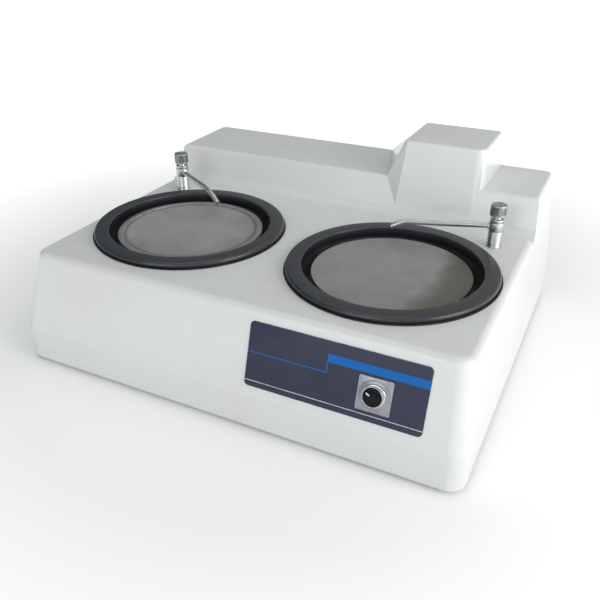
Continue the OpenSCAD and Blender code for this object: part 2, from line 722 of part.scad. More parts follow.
clamp_lip = 1.2;
clamp_wall = 1.5;
clamp_r = disc_r+clamp_wall-clamp_w;
cloth_rim_t = cloth_t-cloth_press;
module left_polishing_cloth() color([0.50, 0.51, 0.52]) translate([-disc_x, disc_y, disc_top])
  rotate_extrude($fn = 96) polygon([[0, 0], [disc_r-play, 0], [disc_r-play, cloth_rim_t-play],
    [clamp_r-over, cloth_rim_t-play], [clamp_r-over, cloth_t], [0, cloth_t]]);
module left_clamp_ring() color([0.62, 0.64, 0.64]) translate([-disc_x, disc_y, disc_top])
  rotate_extrude($fn = 96) polygon([[disc_r, -disc_t], [disc_r+clamp_wall, -disc_t],
    [disc_r+clamp_wall, cloth_t+clamp_lip-over/2], [disc_r+clamp_wall-over/2, cloth_t+clamp_lip],
    [clamp_r+over/2, cloth_t+clamp_lip], [clamp_r, cloth_t+clamp_lip-over/2],
    [clamp_r, cloth_rim_t], [disc_r, cloth_rim_t]]);
module right_abrasive_sheet() color([0.50, 0.49, 0.49]) translate([disc_x, disc_y, disc_top])
  cylinder(r = disc_r, h = sheet_t, $fn = 96);

module slinger(sx) color([0.09, 0.09, 0.09]) translate([sx*disc_x, disc_y, hub_z-seat_t-slinger_t])
  difference() {
    translate([0, 0, -slinger_drop+slinger_t]) cylinder(r = slinger_r+slinger_t, h = slinger_drop);
    translate([0, 0, -slinger_drop]) cylinder(r = slinger_r, h = slinger_drop);
    translate([0, 0, -over]) cylinder(r = shaft_r, h = slinger_t+over*2);
  }
module left_slinger() slinger(-1);
module right_slinger() slinger(1);

// Spindle with its two bearings

seat_r = 21;
pulley_h = 16;
fast_z = belt_z+belt_step;
housing_z = plate_z+plate_t+housing_flange_t+bearing_w-housing_h;
bearing_inset = 3;
low_bearing_z = housing_z+bearing_inset;
high_bearing_z = housing_z+housing_h-bearing_inset-bearing_w;
race_t = (bearing_d-shaft_d)/6;
ball_track_r = (bearing_d+shaft_d)/4;
ball_d = race_t*2-gap*2;
ball_count = 9;

module spindle_shaft(sx, drive_z) color([0.72, 0.73, 0.75]) translate([sx*disc_x, disc_y, 0]) {
  shaft_z = drive_z-pulley_h/2-over*2;
  translate([0, 0, shaft_z]) cylinder(r = shaft_r, h = disc_under-over*2-shaft_z);
  translate([0, 0, hub_z-seat_t]) cylinder(r = seat_r, h = seat_t);
  around(2, pin_r) translate([0, 0, hub_z-slab]) cylinder(d = pin_d-play*2, h = pin_d-over/2+slab);
}
module left_spindle_shaft() spindle_shaft(-1, belt_z);
module right_spindle_shaft() spindle_shaft(1, fast_z);

module bearing_housing(sx) color([0.33, 0.38, 0.40]) translate([sx*disc_x, disc_y, 0]) difference() {
  union() {
    translate([0, 0, housing_z]) cylinder(r = housing_r, h = housing_h);
    translate([0, 0, plate_z+plate_t]) cylinder(d = flange_d, h = housing_flange_t);
  }
  translate([0, 0, housing_z-over]) cylinder(d = bearing_d, h = bearing_inset+bearing_w+over);
  translate([0, 0, high_bearing_z]) cylinder(d = bearing_d, h = bearing_inset+bearing_w+over);
  translate([0, 0, housing_z]) cylinder(r = bearing_d/2-over*2, h = housing_h);
  around(4, housing_bolt_r, 45) translate([0, 0, plate_z])
    cylinder(d = bolt_d+over/2, h = plate_t+housing_flange_t+over*2);
}
module left_bearing_housing() bearing_housing(-1);
module right_bearing_housing() bearing_housing(1);

module at_bearings(sx) for (z = [low_bearing_z, high_bearing_z])
  translate([sx*disc_x, disc_y, z]) children();
module outer_race() rotate_extrude() difference() {
  translate([bearing_d/2-race_t, 0]) square([race_t, bearing_w]);
  translate([ball_track_r, bearing_w/2]) circle(ball_d/2+gap);
}
module inner_race() rotate_extrude() difference() {
  translate([shaft_r, 0]) square([race_t, bearing_w]);
  translate([ball_track_r, bearing_w/2]) circle(ball_d/2+play);
}
module left_bearing_outer_rings() color([0.8, 0.8, 0.82]) at_bearings(-1) outer_race();
module right_bearing_outer_rings() color([0.8, 0.8, 0.82]) at_bearings(1) outer_race();
module left_bearing_inner_rings() color([0.8, 0.8, 0.82]) at_bearings(-1) inner_race();
module right_bearing_inner_rings() color([0.8, 0.8, 0.82]) at_bearings(1) inner_race();
cage_t = 1.4;
module ball_set() translate([0, 0, bearing_w/2]) {
  around(ball_count, ball_track_r) sphere(d = ball_d, $fn = 24);
  translate([0, 0, -cage_t]) tube(ball_track_r+cage_t/2, ball_track_r-cage_t/2, cage_t*2);
}
module left_bearing_balls() color([0.75, 0.7, 0.5]) at_bearings(-1) ball_set();
module right_bearing_balls() color([0.75, 0.7, 0.5]) at_bearings(1) ball_set();

// Belt drive

pitch_depth = belt_h*0.42;
belt_foot_w = belt_w-belt_h*tan(belt_angle/2)*2;
groove_side = gap/cos(belt_angle/2);
groove_floor = belt_h-pitch_depth+over;
crown = pitch_depth+over/2;
bore_relief = 4;
web_t = 6;

// Half a groove's width at a radius measured from the pitch line
function groove_half(d) = belt_w/2-(pitch_depth-d)*tan(belt_angle/2)+groove_side;

// One grooved rim in section, from an inner radius out to its crown
module grooved_rim(pitch_r, inner_r, h) polygon([[inner_r, -h/2], [pitch_r+crown, -h/2],
  [pitch_r+crown, -groove_half(crown)], [pitch_r-groove_floor, -groove_half(-groove_floor)],
  [pitch_r-groove_floor, groove_half(-groove_floor)], [pitch_r+crown, groove_half(crown)],
  [pitch_r+crown, h/2], [inner_r, h/2]]);

rim_t = 13;
pulley_hub_r = 22;
spoke_hole_r = 17;
module spindle_pulley(sx, z) color([0.45, 0.46, 0.48]) translate([sx*disc_x, disc_y, z]) difference() {
  union() {
    rotate_extrude() grooved_rim(pulley_d/2, pulley_d/2-rim_t, pulley_h);
    translate([0, 0, -pulley_h/2]) cylinder(r = pulley_hub_r, h = pulley_h);
    translate([0, 0, -web_t/2]) cylinder(r = pulley_d/2-rim_t+over, h = web_t);
  }
  translate([0, 0, -pulley_h]) cylinder(r = shaft_r, h = pulley_h*2);
  around(5, (pulley_hub_r+pulley_d/2-rim_t)/2) translate([0, 0, -web_t])
    cylinder(r = spoke_hole_r, h = web_t*2);
}
module left_spindle_pulley() spindle_pulley(-1, belt_z);
module right_spindle_pulley() spindle_pulley(1, fast_z);

motor_shaft_r = motor_shaft_d/2;
module motor_pulley() color([0.45, 0.46, 0.48]) translate([motor_x, motor_y, 0]) rotate_extrude() {
  translate([0, fast_z]) grooved_rim(fast_step_d/2, motor_shaft_r, belt_step);
  translate([0, belt_z]) grooved_rim(slow_step_d/2, motor_shaft_r, belt_step);
}

inner_face = pitch_depth-belt_h;
flank_rise = belt_h*tan(belt_angle/2);
flank_over = 1.25;

// A solid loop round both pulleys, the small one at a distance along +X
module loop(big_r, small_r, distance, h) hull() for (end = [[0, big_r], [distance, small_r]])
  translate([end[0], 0, 0]) cylinder(r = end[1], h = h, center = true);

// The free space over one flank of the belt
module flank_space(big_r, small_r, distance) hull() for (end = [[0, big_r], [distance, small_r]])
  translate([end[0], 0, belt_foot_w/2]) cylinder(r1 = end[1]+inner_face,
    r2 = end[1]+inner_face+belt_h*flank_over, h = flank_rise*flank_over);

module v_belt(big_r, small_r, distance) difference() {
  loop(big_r+pitch_depth, small_r+pitch_depth, distance, belt_w);
  loop(big_r+inner_face, small_r+inner_face, distance, belt_w+over*2);
  for (m = [0, 1]) mirror([0, 0, m]) flank_space(big_r, small_r, distance);
}
module belt(sx, z, small_r) {
  away = [motor_x-sx*disc_x, motor_y-disc_y];
  color([0.07, 0.07, 0.07]) translate([sx*disc_x, disc_y, z]) rotate([0, 0, atan2(away[1], away[0])])
    v_belt(pulley_d/2, small_r, norm(away));
}
module left_belt() belt(-1, belt_z, slow_step_d/2);
module right_belt() belt(1, fast_z, fast_step_d/2);

// Motor

fin_h = 4;
fin_t = 2;
fin_count = 28;
cowl_t = 1.5;
box_w = 36;
box_l = 60;
box_h = 50;

module at_motor(z) translate([motor_x, motor_y, z]) children();
module motor_body() color([0.36, 0.42, 0.46]) at_motor(motor_body_z) difference() {
  union() {
    cylinder(r = motor_d/2-fin_h, h = motor_h);
    for (i = [0:fin_count-1]) rotate([0, 0, i*360/fin_count])
      translate([motor_d/2-fin_h-over, -fin_t/2, motor_flange_t])
        cube([fin_h, fin_t, motor_h-motor_flange_t*2]);
  }
  translate([0, 0, -over]) cylinder(r = motor_shaft_r+gap, h = motor_h+over*2);
}
module motor_flange() color([0.36, 0.42, 0.46]) at_motor(motor_base_z) difference() {
  union() {
    cylinder(d = motor_flange_d, h = motor_flange_t);
    translate([0, 0, -plate_t]) cylinder(r = pilot_r, h = plate_t);
  }
  translate([0, 0, -plate_t-over]) cylinder(r = motor_shaft_r+gap, h = motor_flange_t+plate_t+over*2);
  around(4, motor_bolt_r, 45) translate([0, 0, -over])
    cylinder(d = bolt_d+over/2, h = motor_flange_t+over*2);
}
module motor_shaft() color([0.7, 0.7, 0.72]) at_motor(0) translate([0, 0, belt_z-belt_step/2-over*2])
  cylinder(r = motor_shaft_r, h = motor_top_z+cowl_h/2-belt_z+belt_step/2);
module motor_fan() color([0.15, 0.15, 0.16]) at_motor(motor_top_z+over*3) difference() {
  union() {
    cylinder(r = motor_shaft_r*2, h = cowl_h/3);
    cylinder(r = motor_d/2-fin_h*3, h = over*1.5);
    for (i = [0:6]) rotate([0, 0, i*360/7]) translate([motor_shaft_r*1.6, -over, 0])
      cube([motor_d/2-fin_h*3-motor_shaft_r*1.7, over*2, cowl_h/2]);
  }
  translate([0, 0, -over]) cylinder(r = motor_shaft_r, h = cowl_h);
}
module motor_cowl() color([0.30, 0.34, 0.37]) at_motor(motor_top_z-motor_flange_t) difference() {
  cylinder(r = motor_d/2+cowl_t, h = cowl_h+motor_flange_t);
  translate([0, 0, -over]) cylinder(r = motor_d/2-fin_h, h = motor_flange_t+over);
  translate([0, 0, motor_flange_t-slab]) cylinder(r = motor_d/2-cowl_t, h = cowl_h+slab-cowl_t);
  for (ring = [2:4]) around(ring*4, ring*motor_d/12) cylinder(d = vent_h, h = cowl_h*2);
}
module motor_terminal_box() color([0.20, 0.22, 0.24])
  translate([motor_x+motor_d/2-fin_h, motor_y, motor_body_z+motor_flange_t+box_h/2]) difference() {
    union() {
      translate([-over*2, -box_l/2+over*3, -box_h/2+over*3]) cube([box_w, box_l-over*6, box_h-over*6]);
      translate([fin_h+over, -box_l/2, -box_h/2]) cube([box_w, box_l, box_h]);
    }
    translate([-motor_d/2+fin_h, 0, -box_h]) cylinder(r = motor_d/2, h = box_h*2);
  }

// Drains

drain_bend_r = 14;
drain_bore_r = drain_bore_d/2;
drain_top_z = bowl_floor_z-bowl_wall;
drain_y = disc_y+drain_bore_y;
drain_end_y = rear_y+rear_reach;

module drain_pipe(sx) color([0.55, 0.56, 0.57]) translate([sx*drain_x, drain_y, drain_z]) difference() {
  union() {
    translate([0, 0, drain_bend_r]) cylinder(d = drain_d, h = drain_top_z-drain_z-drain_bend_r);
    translate([0, drain_bend_r, drain_bend_r]) rotate([0, 90, 0]) rotate([0, 0, -90])
      rotate_extrude(angle = 90) translate([drain_bend_r, 0]) circle(d = drain_d);
    translate([0, drain_bend_r, 0]) rotate([-90, 0, 0])
      cylinder(d = drain_d, h = drain_end_y-drain_y-drain_bend_r-spigot_l);
    translate([0, drain_end_y-drain_y-spigot_l-over, 0]) rotate([-90, 0, 0])
      cylinder(d = drain_d-spigot_step*2, h = spigot_l+over);
  }
  translate([0, drain_bend_r, 0]) rotate([-90, 0, 0])
    cylinder(r = drain_bore_r, h = drain_end_y-drain_y);
  translate([0, 0, drain_bend_r]) cylinder(r = drain_bore_r, h = drain_sink);
}
module left_drain_pipe() drain_pipe(-1);
module right_drain_pipe() drain_pipe(1);

// Taps

tap_base_d = tap_d+over*2;
tap_base_h = 2.5;
tap_core_d = 13;
tap_neck_d = 13;
tap_neck_h = 4;
sleeve_z = spout_z-sleeve_h/2;
tap_head_z = spout_z+sleeve_h/2+gap;
tap_head_h = 5;
knob_z = tap_head_z+tap_head_h+tap_neck_h;
stem_d = 7;
tap_tail = 20;
tap_nut_h = 7;
left_spout_tip = 8;
right_spout_tip = 16;
nozzle_d = spout_d+over/2;

module at_tap(sx) translate([sx*tap_x, disc_y+tap_back, deck_z]) children();
module tap_post(sx) color([0.72, 0.74, 0.75]) at_tap(sx) difference() {
  union() {
    translate([0, 0, -tap_tail-wall]) cylinder(d = tap_tail_d, h = tap_tail+wall+slab);
    rotate_extrude() polygon([[0, 0], [tap_base_d/2, 0], [tap_base_d/2, over],
      [tap_d/2+over/2, tap_base_h], [tap_d/2, tap_base_h+over], [tap_d/2, sleeve_z-gap],
      [0, sleeve_z-gap]]);
    translate([0, 0, sleeve_z-over]) cylinder(d = tap_core_d, h = sleeve_h+over*2);
    translate([0, 0, tap_head_z]) cylinder(d = tap_d, h = knob_z-tap_neck_h-tap_head_z);
    translate([0, 0, knob_z-tap_neck_h-slab]) cylinder(d = tap_neck_d, h = tap_neck_h+slab-gap);
  }
  translate([0, 0, tap_head_z-sleeve_h]) cylinder(d = stem_d+play*2, h = sleeve_h*3);
}
module left_tap_post() tap_post(-1);
module right_tap_post() tap_post(1);

// A bent round bar that starts along +X and turns towards +Y
module elbow(r, d, angle) translate([0, r, 0]) rotate([0, 0, -90])
  rotate_extrude(angle = angle) translate([r, 0]) circle(d = d);

module tap_spout(sx, turn, run, bend_r, angle, tip) color([0.80, 0.81, 0.82]) at_tap(sx)
  translate([0, 0, spout_z]) rotate([0, 0, turn]) difference() {
    union() {
      translate([0, 0, -sleeve_h/2]) cylinder(d = tap_d+over, h = sleeve_h);
      rotate([0, 90, 0]) cylinder(d = spout_d+over*2, h = tap_d/2+over*3);
      rotate([0, 90, 0]) cylinder(d = spout_d, h = run);
      translate([run, 0, 0]) rotate([-90, 0, 0]) elbow(bend_r, spout_d, angle);
      spout_end(run, bend_r, angle) translate([0, 0, -over]) cylinder(d = nozzle_d, h = tip+over);
    }
    translate([0, 0, -sleeve_h]) cylinder(d = tap_core_d+play*2, h = sleeve_h*2);
    spout_end(run, bend_r, angle) translate([0, 0, over]) cylinder(d = spout_bore, h = tip);
  }
module spout_end(run, bend_r, angle) translate([run, 0, -bend_r]) rotate([0, angle, 0])
  translate([0, 0, bend_r]) rotate([0, 90, 0]) children();
module left_tap_spout()
  tap_spout(-1, left_spout_angle, left_spout_length, left_bend_r, left_bend_angle, left_spout_tip);
module right_tap_spout()
  tap_spout(1, right_spout_angle, right_spout_length, right_bend_r, right_bend_angle, right_spout_tip);

flute_count = 24;
module tap_knob(sx) color([0.60, 0.62, 0.63]) at_tap(sx) {
  difference() {
    translate([0, 0, knob_z]) rotate_extrude() polygon([[0, 0], [knob_d/2-over, 0], [knob_d/2, over],
      [knob_d/2, knob_h-over*1.5], [knob_d/2-over*1.5, knob_h], [0, knob_h]]);
    around(flute_count, knob_d/2+over*0.4) translate([0, 0, knob_z+over*2])
      cylinder(d = over*1.6, h = knob_h-over*5);
  }
  translate([0, 0, tap_head_z-sleeve_h/2]) cylinder(d = stem_d, h = knob_z-tap_head_z+sleeve_h/2+slab);
}
module left_tap_knob() tap_knob(-1);
module right_tap_knob() tap_knob(1);

module tap_lock_nuts() color([0.78, 0.70, 0.42]) for (sx = [-1, 1]) at_tap(sx)
  translate([0, 0, -wall-tap_nut_h]) difference() {
    hexagon(tap_base_d, tap_nut_h);
    translate([0, 0, -over]) cylinder(d = tap_tail_d, h = tap_nut_h+over*2);
  }

// Water supply

hose_bend_r = 20;
tee_l = 44;
inlet_end_y = rear_y+rear_reach;
hex_across = 28;
hex_y = rear_wall(inlet_z)+over*1.5;
nipple_y = inlet_end_y-nipple_l;
gland_hex_t = 8;

module water_inlet() color([0.78, 0.70, 0.42]) translate([0, 0, inlet_z]) difference() {
  union() {
    translate([0, hose_y, 0]) rotate([-90, 0, 0]) cylinder(d = inlet_thread_d, h = nipple_y-hose_y);
    translate([0, nipple_y-over, 0]) rotate([-90, 0, 0]) cylinder(d = inlet_d, h = nipple_l+over);
    translate([-tee_l/2, hose_y, 0]) rotate([0, 90, 0]) cylinder(d = hose_d+over*4, h = tee_l);
    translate([0, hex_y, 0]) rotate([-90, 30, 0]) hexagon(hex_across, nipple_y-hex_y);
  }
  translate([0, hose_y+hose_d/2, 0]) rotate([-90, 0, 0])
    cylinder(d = inlet_d*0.6, h = inlet_end_y-hose_y);
}

hose_up_z = deck_z-wall-tap_tail;
hose_rise = hose_up_z-hose_z;
hose_run_x = tap_x-hose_bend_r;
hose_run_y = disc_y+tap_back+hose_rise;
module water_hose() color([0.85, 0.86, 0.84]) {
  translate([tee_l/2, hose_y, hose_z]) rotate([0, 90, 0]) cylinder(d = hose_d, h = hose_run_x-tee_l/2);
  translate([hose_run_x, hose_y, hose_z]) mirror([0, 1, 0]) elbow(hose_bend_r, hose_d, 90);
  translate([tap_x, hose_run_y, hose_z]) rotate([-90, 0, 0])
    cylinder(d = hose_d, h = hose_y-hose_bend_r-hose_run_y);
  translate([tap_x, hose_run_y, hose_z]) rotate([90, 0, -90]) elbow(hose_rise, hose_d, 90);
}
module left_water_hose() mirror([1, 0, 0]) water_hose();
module right_water_hose() water_hose();

gland_hex = 22;
gland_reach = 16;
module cable_gland() color([0.10, 0.10, 0.10]) translate([gland_x, rear_y, gland_z]) rotate([-90, 0, 0])
  difference() {
    union() {
      translate([0, 0, -wall*3]) cylinder(d = gland_d, h = wall*3+gland_reach);
      hexagon(gland_hex, gland_hex_t/2);
      translate([0, 0, gland_hex_t/2]) cylinder(d = gland_hex-over, h = gland_reach-gland_hex_t/2);
      translate([0, 0, -wall-gland_hex_t/2-over]) hexagon(gland_hex, gland_hex_t/2);
    }
    translate([0, 0, gland_reach-gland_hex_t]) cylinder(d = gland_d/2, h = gland_hex_t*2);
  }

casing();
base_frame();
drive_plate();
plate_posts();
casing_screws();
drive_screws();
foot_front_left();
foot_front_right();
foot_rear_left();
foot_rear_right();
nameplate();
switch_plate();
switch_bezel();
switch_knob();
switch_body();
left_bowl();
right_bowl();
left_splash_ring();
right_splash_ring();
left_disc();
right_disc();
left_clamp_ring();
left_polishing_cloth();
right_abrasive_sheet();
left_slinger();
right_slinger();
left_spindle_shaft();
right_spindle_shaft();
left_bearing_housing();
right_bearing_housing();
left_bearing_outer_rings();
right_bearing_outer_rings();
left_bearing_inner_rings();
right_bearing_inner_rings();
left_bearing_balls();
right_bearing_balls();
left_spindle_pulley();
right_spindle_pulley();
motor_body();
motor_flange();
motor_cowl();
motor_fan();
motor_terminal_box();
motor_shaft();
motor_pulley();
left_belt();
right_belt();
left_drain_pipe();
right_drain_pipe();
left_tap_post();
right_tap_post();
left_tap_spout();
right_tap_spout();
left_tap_knob();
right_tap_knob();
tap_lock_nuts();
water_inlet();
left_water_hose();
right_water_hose();
cable_gland();
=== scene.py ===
import math
import bmesh
import bpy
from mathutils import Matrix, Vector


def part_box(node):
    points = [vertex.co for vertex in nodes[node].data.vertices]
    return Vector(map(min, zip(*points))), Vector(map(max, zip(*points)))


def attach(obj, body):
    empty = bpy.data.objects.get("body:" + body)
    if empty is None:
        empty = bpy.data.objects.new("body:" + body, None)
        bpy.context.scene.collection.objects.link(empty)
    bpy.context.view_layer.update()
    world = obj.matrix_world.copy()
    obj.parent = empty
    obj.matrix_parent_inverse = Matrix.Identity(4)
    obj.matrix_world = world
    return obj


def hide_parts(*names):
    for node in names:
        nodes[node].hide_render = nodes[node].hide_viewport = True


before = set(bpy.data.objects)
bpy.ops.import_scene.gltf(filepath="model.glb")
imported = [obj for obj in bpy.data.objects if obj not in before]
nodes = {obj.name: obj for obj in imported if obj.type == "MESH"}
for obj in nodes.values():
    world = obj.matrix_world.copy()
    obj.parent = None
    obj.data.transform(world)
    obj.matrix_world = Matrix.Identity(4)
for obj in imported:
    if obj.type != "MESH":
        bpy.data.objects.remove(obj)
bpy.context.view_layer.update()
scene = bpy.context.scene

# The camera stands at the right front corner of the machine and looks down on the deck.
# Its place, turn and lens are those at which the photograph's outlines and this model's agree.
eye = Vector((0.44011, -0.94254, 0.62198))
yaw, pitch, roll = math.radians(27.0776), math.radians(29.6537), math.radians(-0.41)
image_side, focal_px, axis_px = 600, 687.13, (288.69, 301.19)
film_width = 36
back = Vector((math.sin(yaw) * math.cos(pitch), -math.cos(yaw) * math.cos(pitch), math.sin(pitch)))
side = (-back).cross(Vector((0, 0, 1))).normalized()
above = back.cross(side)
turned_side = side * math.cos(roll) + above * math.sin(roll)
turned_above = above * math.cos(roll) - side * math.sin(roll)
lens = bpy.data.cameras.new("camera")
lens.sensor_width, lens.lens = film_width, focal_px / image_side * film_width
lens.shift_x = (image_side / 2 - axis_px[0]) / image_side
lens.shift_y = (axis_px[1] - image_side / 2) / image_side
lens.clip_start, lens.clip_end = 0.05, 40
camera = bpy.data.objects.new("camera", lens)
scene.collection.objects.link(camera)
facing_turn = Matrix((turned_side, turned_above, back)).transposed().to_4x4()
camera.matrix_world = Matrix.Translation(eye) @ facing_turn
scene.camera = camera
scene.view_settings.view_transform = "Standard"


# The studio: a plain pale floor that fades to white, and large soft lights. The brightest stands
# at the right, so that the right walls are almost white and the deck stays a quiet grey.
def plug(socket, value):
    if isinstance(value, bpy.types.NodeSocket):
        socket.id_data.links.new(value, socket)
    else:
        socket.default_value = value


def add_node(tree, kind, settings=(), **sockets):
    made = tree.nodes.new("ShaderNode" + kind)
    for name, value in dict(settings).items():
        setattr(made, name, value)
    for name, value in sockets.items():
        plug(made.inputs[name.replace("_", " ")], value)
    return made


def new_material(name, **constants):
    made = bpy.data.materials.new(name)
    made.use_nodes = True
    shader = made.node_tree.nodes["Principled BSDF"]
    for socket, value in constants.items():
        shader.inputs[socket.replace("_", " ")].default_value = value
    return made, made.node_tree, shader


def mixed(tree, factor, first, second):
    made = tree.nodes.new("ShaderNodeMix")
    made.data_type = "RGBA"
    factor_slot, first_slot, second_slot, colour_out = 0, 6, 7, 2
    plug(made.inputs[factor_slot], factor)
    plug(made.inputs[first_slot], first)
    plug(made.inputs[second_slot], second)
    return made.outputs[colour_out]


def ranged(tree, value, low, high, to_low=0.0, to_high=1.0):
    made = add_node(tree, "MapRange", {"clamp": True}, Value=value, From_Min=low, From_Max=high,
                    To_Min=to_low, To_Max=to_high)
    return made.outputs["Result"]


def reckoned(tree, operation, *values):
    made = add_node(tree, "Math", {"operation": operation})
    for socket, value in zip(made.inputs, values):
        plug(socket, value)
    return made.outputs[0]


def length_of(tree, vector):
    return add_node(tree, "VectorMath", {"operation": "LENGTH"}, Vector=vector).outputs["Value"]


def linked(shader, **sockets):
    for name, value in sockets.items():
        plug(shader.inputs[name.replace("_", " ")], value)


floor_radius, dim_within, white_beyond = 6, 0.5, 1.6
floor_shape = bmesh.new()
bmesh.ops.create_circle(floor_shape, cap_ends=True, segments=64, radius=floor_radius)
floor_mesh = bpy.data.meshes.new("floor")
floor_shape.to_mesh(floor_mesh)
floor_shape.free()
floor = bpy.data.objects.new("floor", floor_mesh)
scene.collection.objects.link(floor)
floor_paint, tree, shader = new_material("pale_floor", Base_Color=(0.9, 0.9, 0.9, 1),
                                         Roughness=0.9, Emission_Strength=1.0)
away = length_of(tree, add_node(tree, "TexCoord").outputs["Object"])
linked(shader, Emission_Color=mixed(tree, ranged(tree, away, dim_within, white_beyond),
                                    (0.08, 0.08, 0.08, 1), (0.8, 0.8, 0.8, 1)))
floor_mesh.materials.append(floor_paint)

sky = bpy.data.worlds.new("soft_room")
scene.world = sky
sky.use_nodes = True
room = sky.node_tree
direction = add_node(room, "SeparateXYZ", Vector=add_node(room, "TexCoord").outputs["Generated"])
bright_side = ranged(room, direction.outputs["X"], -0.75, 0.6)
room_light = mixed(room, bright_side, (0.14, 0.18, 0.19, 1), (0.8, 0.79, 0.77, 1))
seen = add_node(room, "LightPath").outputs["Is Camera Ray"]
plug(room.nodes["Background"].inputs["Color"], mixed(room, seen, room_light, (1, 1, 1, 1)))

for name, stand, aim, size, power, tint in (
    ("window", (2.2, -0.4, 0.85), (0.2, -0.1, 0.1), 1.3, 24, (1, 1, 0.99)),
    ("ceiling", (-0.3, 0.3, 2.3), (0, 0, 0.1), 1.8, 7.5, (1, 1, 1)),
    ("front_panel", (-0.3, -2.4, 1.0), (0, 0, 0.1), 1.4, 13, (0.95, 0.98, 1)),
):
    glow = bpy.data.lights.new(name, "AREA")
    glow.shape, glow.size, glow.energy, glow.color = "SQUARE", size, power, tint
    lamp = bpy.data.objects.new(name, glow)
    lamp.location = stand
    lamp.rotation_euler = (Vector(stand) - Vector(aim)).to_track_quat("Z", "Y").to_euler()
    scene.collection.objects.link(lamp)

# The casing is one moulding of glass-fibre polyester with a white gel coat, laid up in a mould,
# so its corners are rounded, its faces are faintly wavy and its skin has a fine orange peel.
mm = 0.001
weld_gap, flat_angle = 0.01 * mm, math.radians(0.5)


def merged_copy(node):
    shape = bmesh.new()
    shape.from_mesh(nodes[node].data)
    bmesh.ops.remove_doubles(shape, verts=shape.verts, dist=weld_gap)
    bmesh.ops.dissolve_limit(shape, angle_limit=flat_angle, verts=shape.verts, edges=shape.edges)
    bmesh.ops.recalc_face_normals(shape, faces=shape.faces)
    return shape


def soften(shape, width, least=30, most=180, segments=2, pick=None):
    worn = shape.faces.layers.float.get("edge") or shape.faces.layers.float.new("edge")
    chosen = [e for e in shape.edges if len(e.link_faces) == 2
              and least < math.degrees(e.calc_face_angle(0)) < most
              and (pick is None or pick((e.verts[0].co + e.verts[1].co) / 2))]
    made = bmesh.ops.bevel(shape, geom=chosen, offset=width, affect="EDGES", segments=segments,
                           profile=0.5, material=-1, clamp_overlap=True, loop_slide=True)
    for face in made["faces"]:
        face[worn] = 1.0


def add_piece(name, shape, material, sharp=40, weighted=False):
    mesh = bpy.data.meshes.new(name)
    shape.to_mesh(mesh)
    shape.free()
    if "custom_normal" in mesh.attributes:
        mesh.attributes.remove(mesh.attributes["custom_normal"])
    mesh.materials.clear()
    mesh.materials.append(material)
    mesh.polygons.foreach_set("material_index", [0] * len(mesh.polygons))
    mesh.shade_smooth()
    mesh.set_sharp_from_angle(angle=math.radians(sharp))
    made = bpy.data.objects.new(name, mesh)
    scene.collection.objects.link(made)
    if weighted:
        made.modifiers.new("flat_faces", "WEIGHTED_NORMAL").keep_sharp = True
    return made


def new_group(name, inputs, outputs):
    tree = bpy.data.node_groups.new(name, "ShaderNodeTree")
    for kind, names in (("INPUT", inputs), ("OUTPUT", outputs)):
        for label, socket in names.items():
            tree.interface.new_socket(name=label, in_out=kind,
                                      socket_type="NodeSocket" + socket)
    entry, end = tree.nodes.new("NodeGroupInput"), tree.nodes.new("NodeGroupOutput")
    return tree, entry.outputs, end.inputs


def use_group(tree, group, **sockets):
    made = tree.nodes.new("ShaderNodeGroup")
    made.node_tree = group
    for name, value in sockets.items():
        plug(made.inputs[name], value)
    return made.outputs


# Stains: broad soft patches of a second colour
stains, given, out = new_group(
    "stains", {"Vector": "Vector", "Colour": "Color", "Stain": "Color", "Scale": "Float",
               "Amount": "Float"}, {"Colour": "Color", "Mask": "Float"})
patches = add_node(stains, "TexNoise", Vector=given["Vector"], Scale=given["Scale"],
                   Detail=4.0, Roughness=0.6)
patch_share = reckoned(stains, "MULTIPLY", ranged(stains, patches.outputs["Fac"], 0.42, 0.68),
                       given["Amount"])
plug(out["Colour"], mixed(stains, patch_share, given["Colour"], given["Stain"]))
plug(out["Mask"], patch_share)

# Dust: a thin film that settles on faces that look up, thicker in patches
dust, given, out = new_group(
    "settled_dust", {"Vector": "Vector", "Colour": "Color", "Dust": "Color", "Amount": "Float"},
    {"Colour": "Color", "Mask": "Float"})
facing = add_node(dust, "SeparateXYZ", Vector=add_node(dust, "NewGeometry").outputs["Normal"])
film = add_node(dust, "TexNoise", Vector=given["Vector"], Scale=55.0, Detail=6.0, Roughness=0.7)
film_share = reckoned(dust, "MULTIPLY", ranged(dust, facing.outputs["Z"], 0.55, 0.98),
                      ranged(dust, film.outputs["Fac"], 0.35, 0.75, 0.25, 1.0))
dust_share = reckoned(dust, "MULTIPLY", film_share, given["Amount"])
plug(out["Colour"], mixed(dust, dust_share, given["Colour"], given["Dust"]))
plug(out["Mask"], dust_share)

# Worn edges: the bevelled faces show a second colour where handling has rubbed them;
# on the clamp ring the light second colour is also a painted highlight
edges, given, out = new_group(
    "edge_wear_and_highlight_mix", {"Vector": "Vector", "Colour": "Color", "Bare": "Color", "Amount": "Float"},
    {"Colour": "Color"})
rubbed = add_node(edges, "TexNoise", Vector=given["Vector"], Scale=90.0, Detail=5.0,
                  Roughness=0.7)
edge_mask = add_node(edges, "Attribute", {"attribute_name": "edge"}).outputs["Fac"]
edge_share = reckoned(edges, "MULTIPLY", edge_mask,
                      ranged(edges, rubbed.outputs["Fac"], 0.4, 0.65))
plug(out["Colour"], mixed(edges, reckoned(edges, "MULTIPLY", edge_share, given["Amount"]),
                          given["Colour"], given["Bare"]))

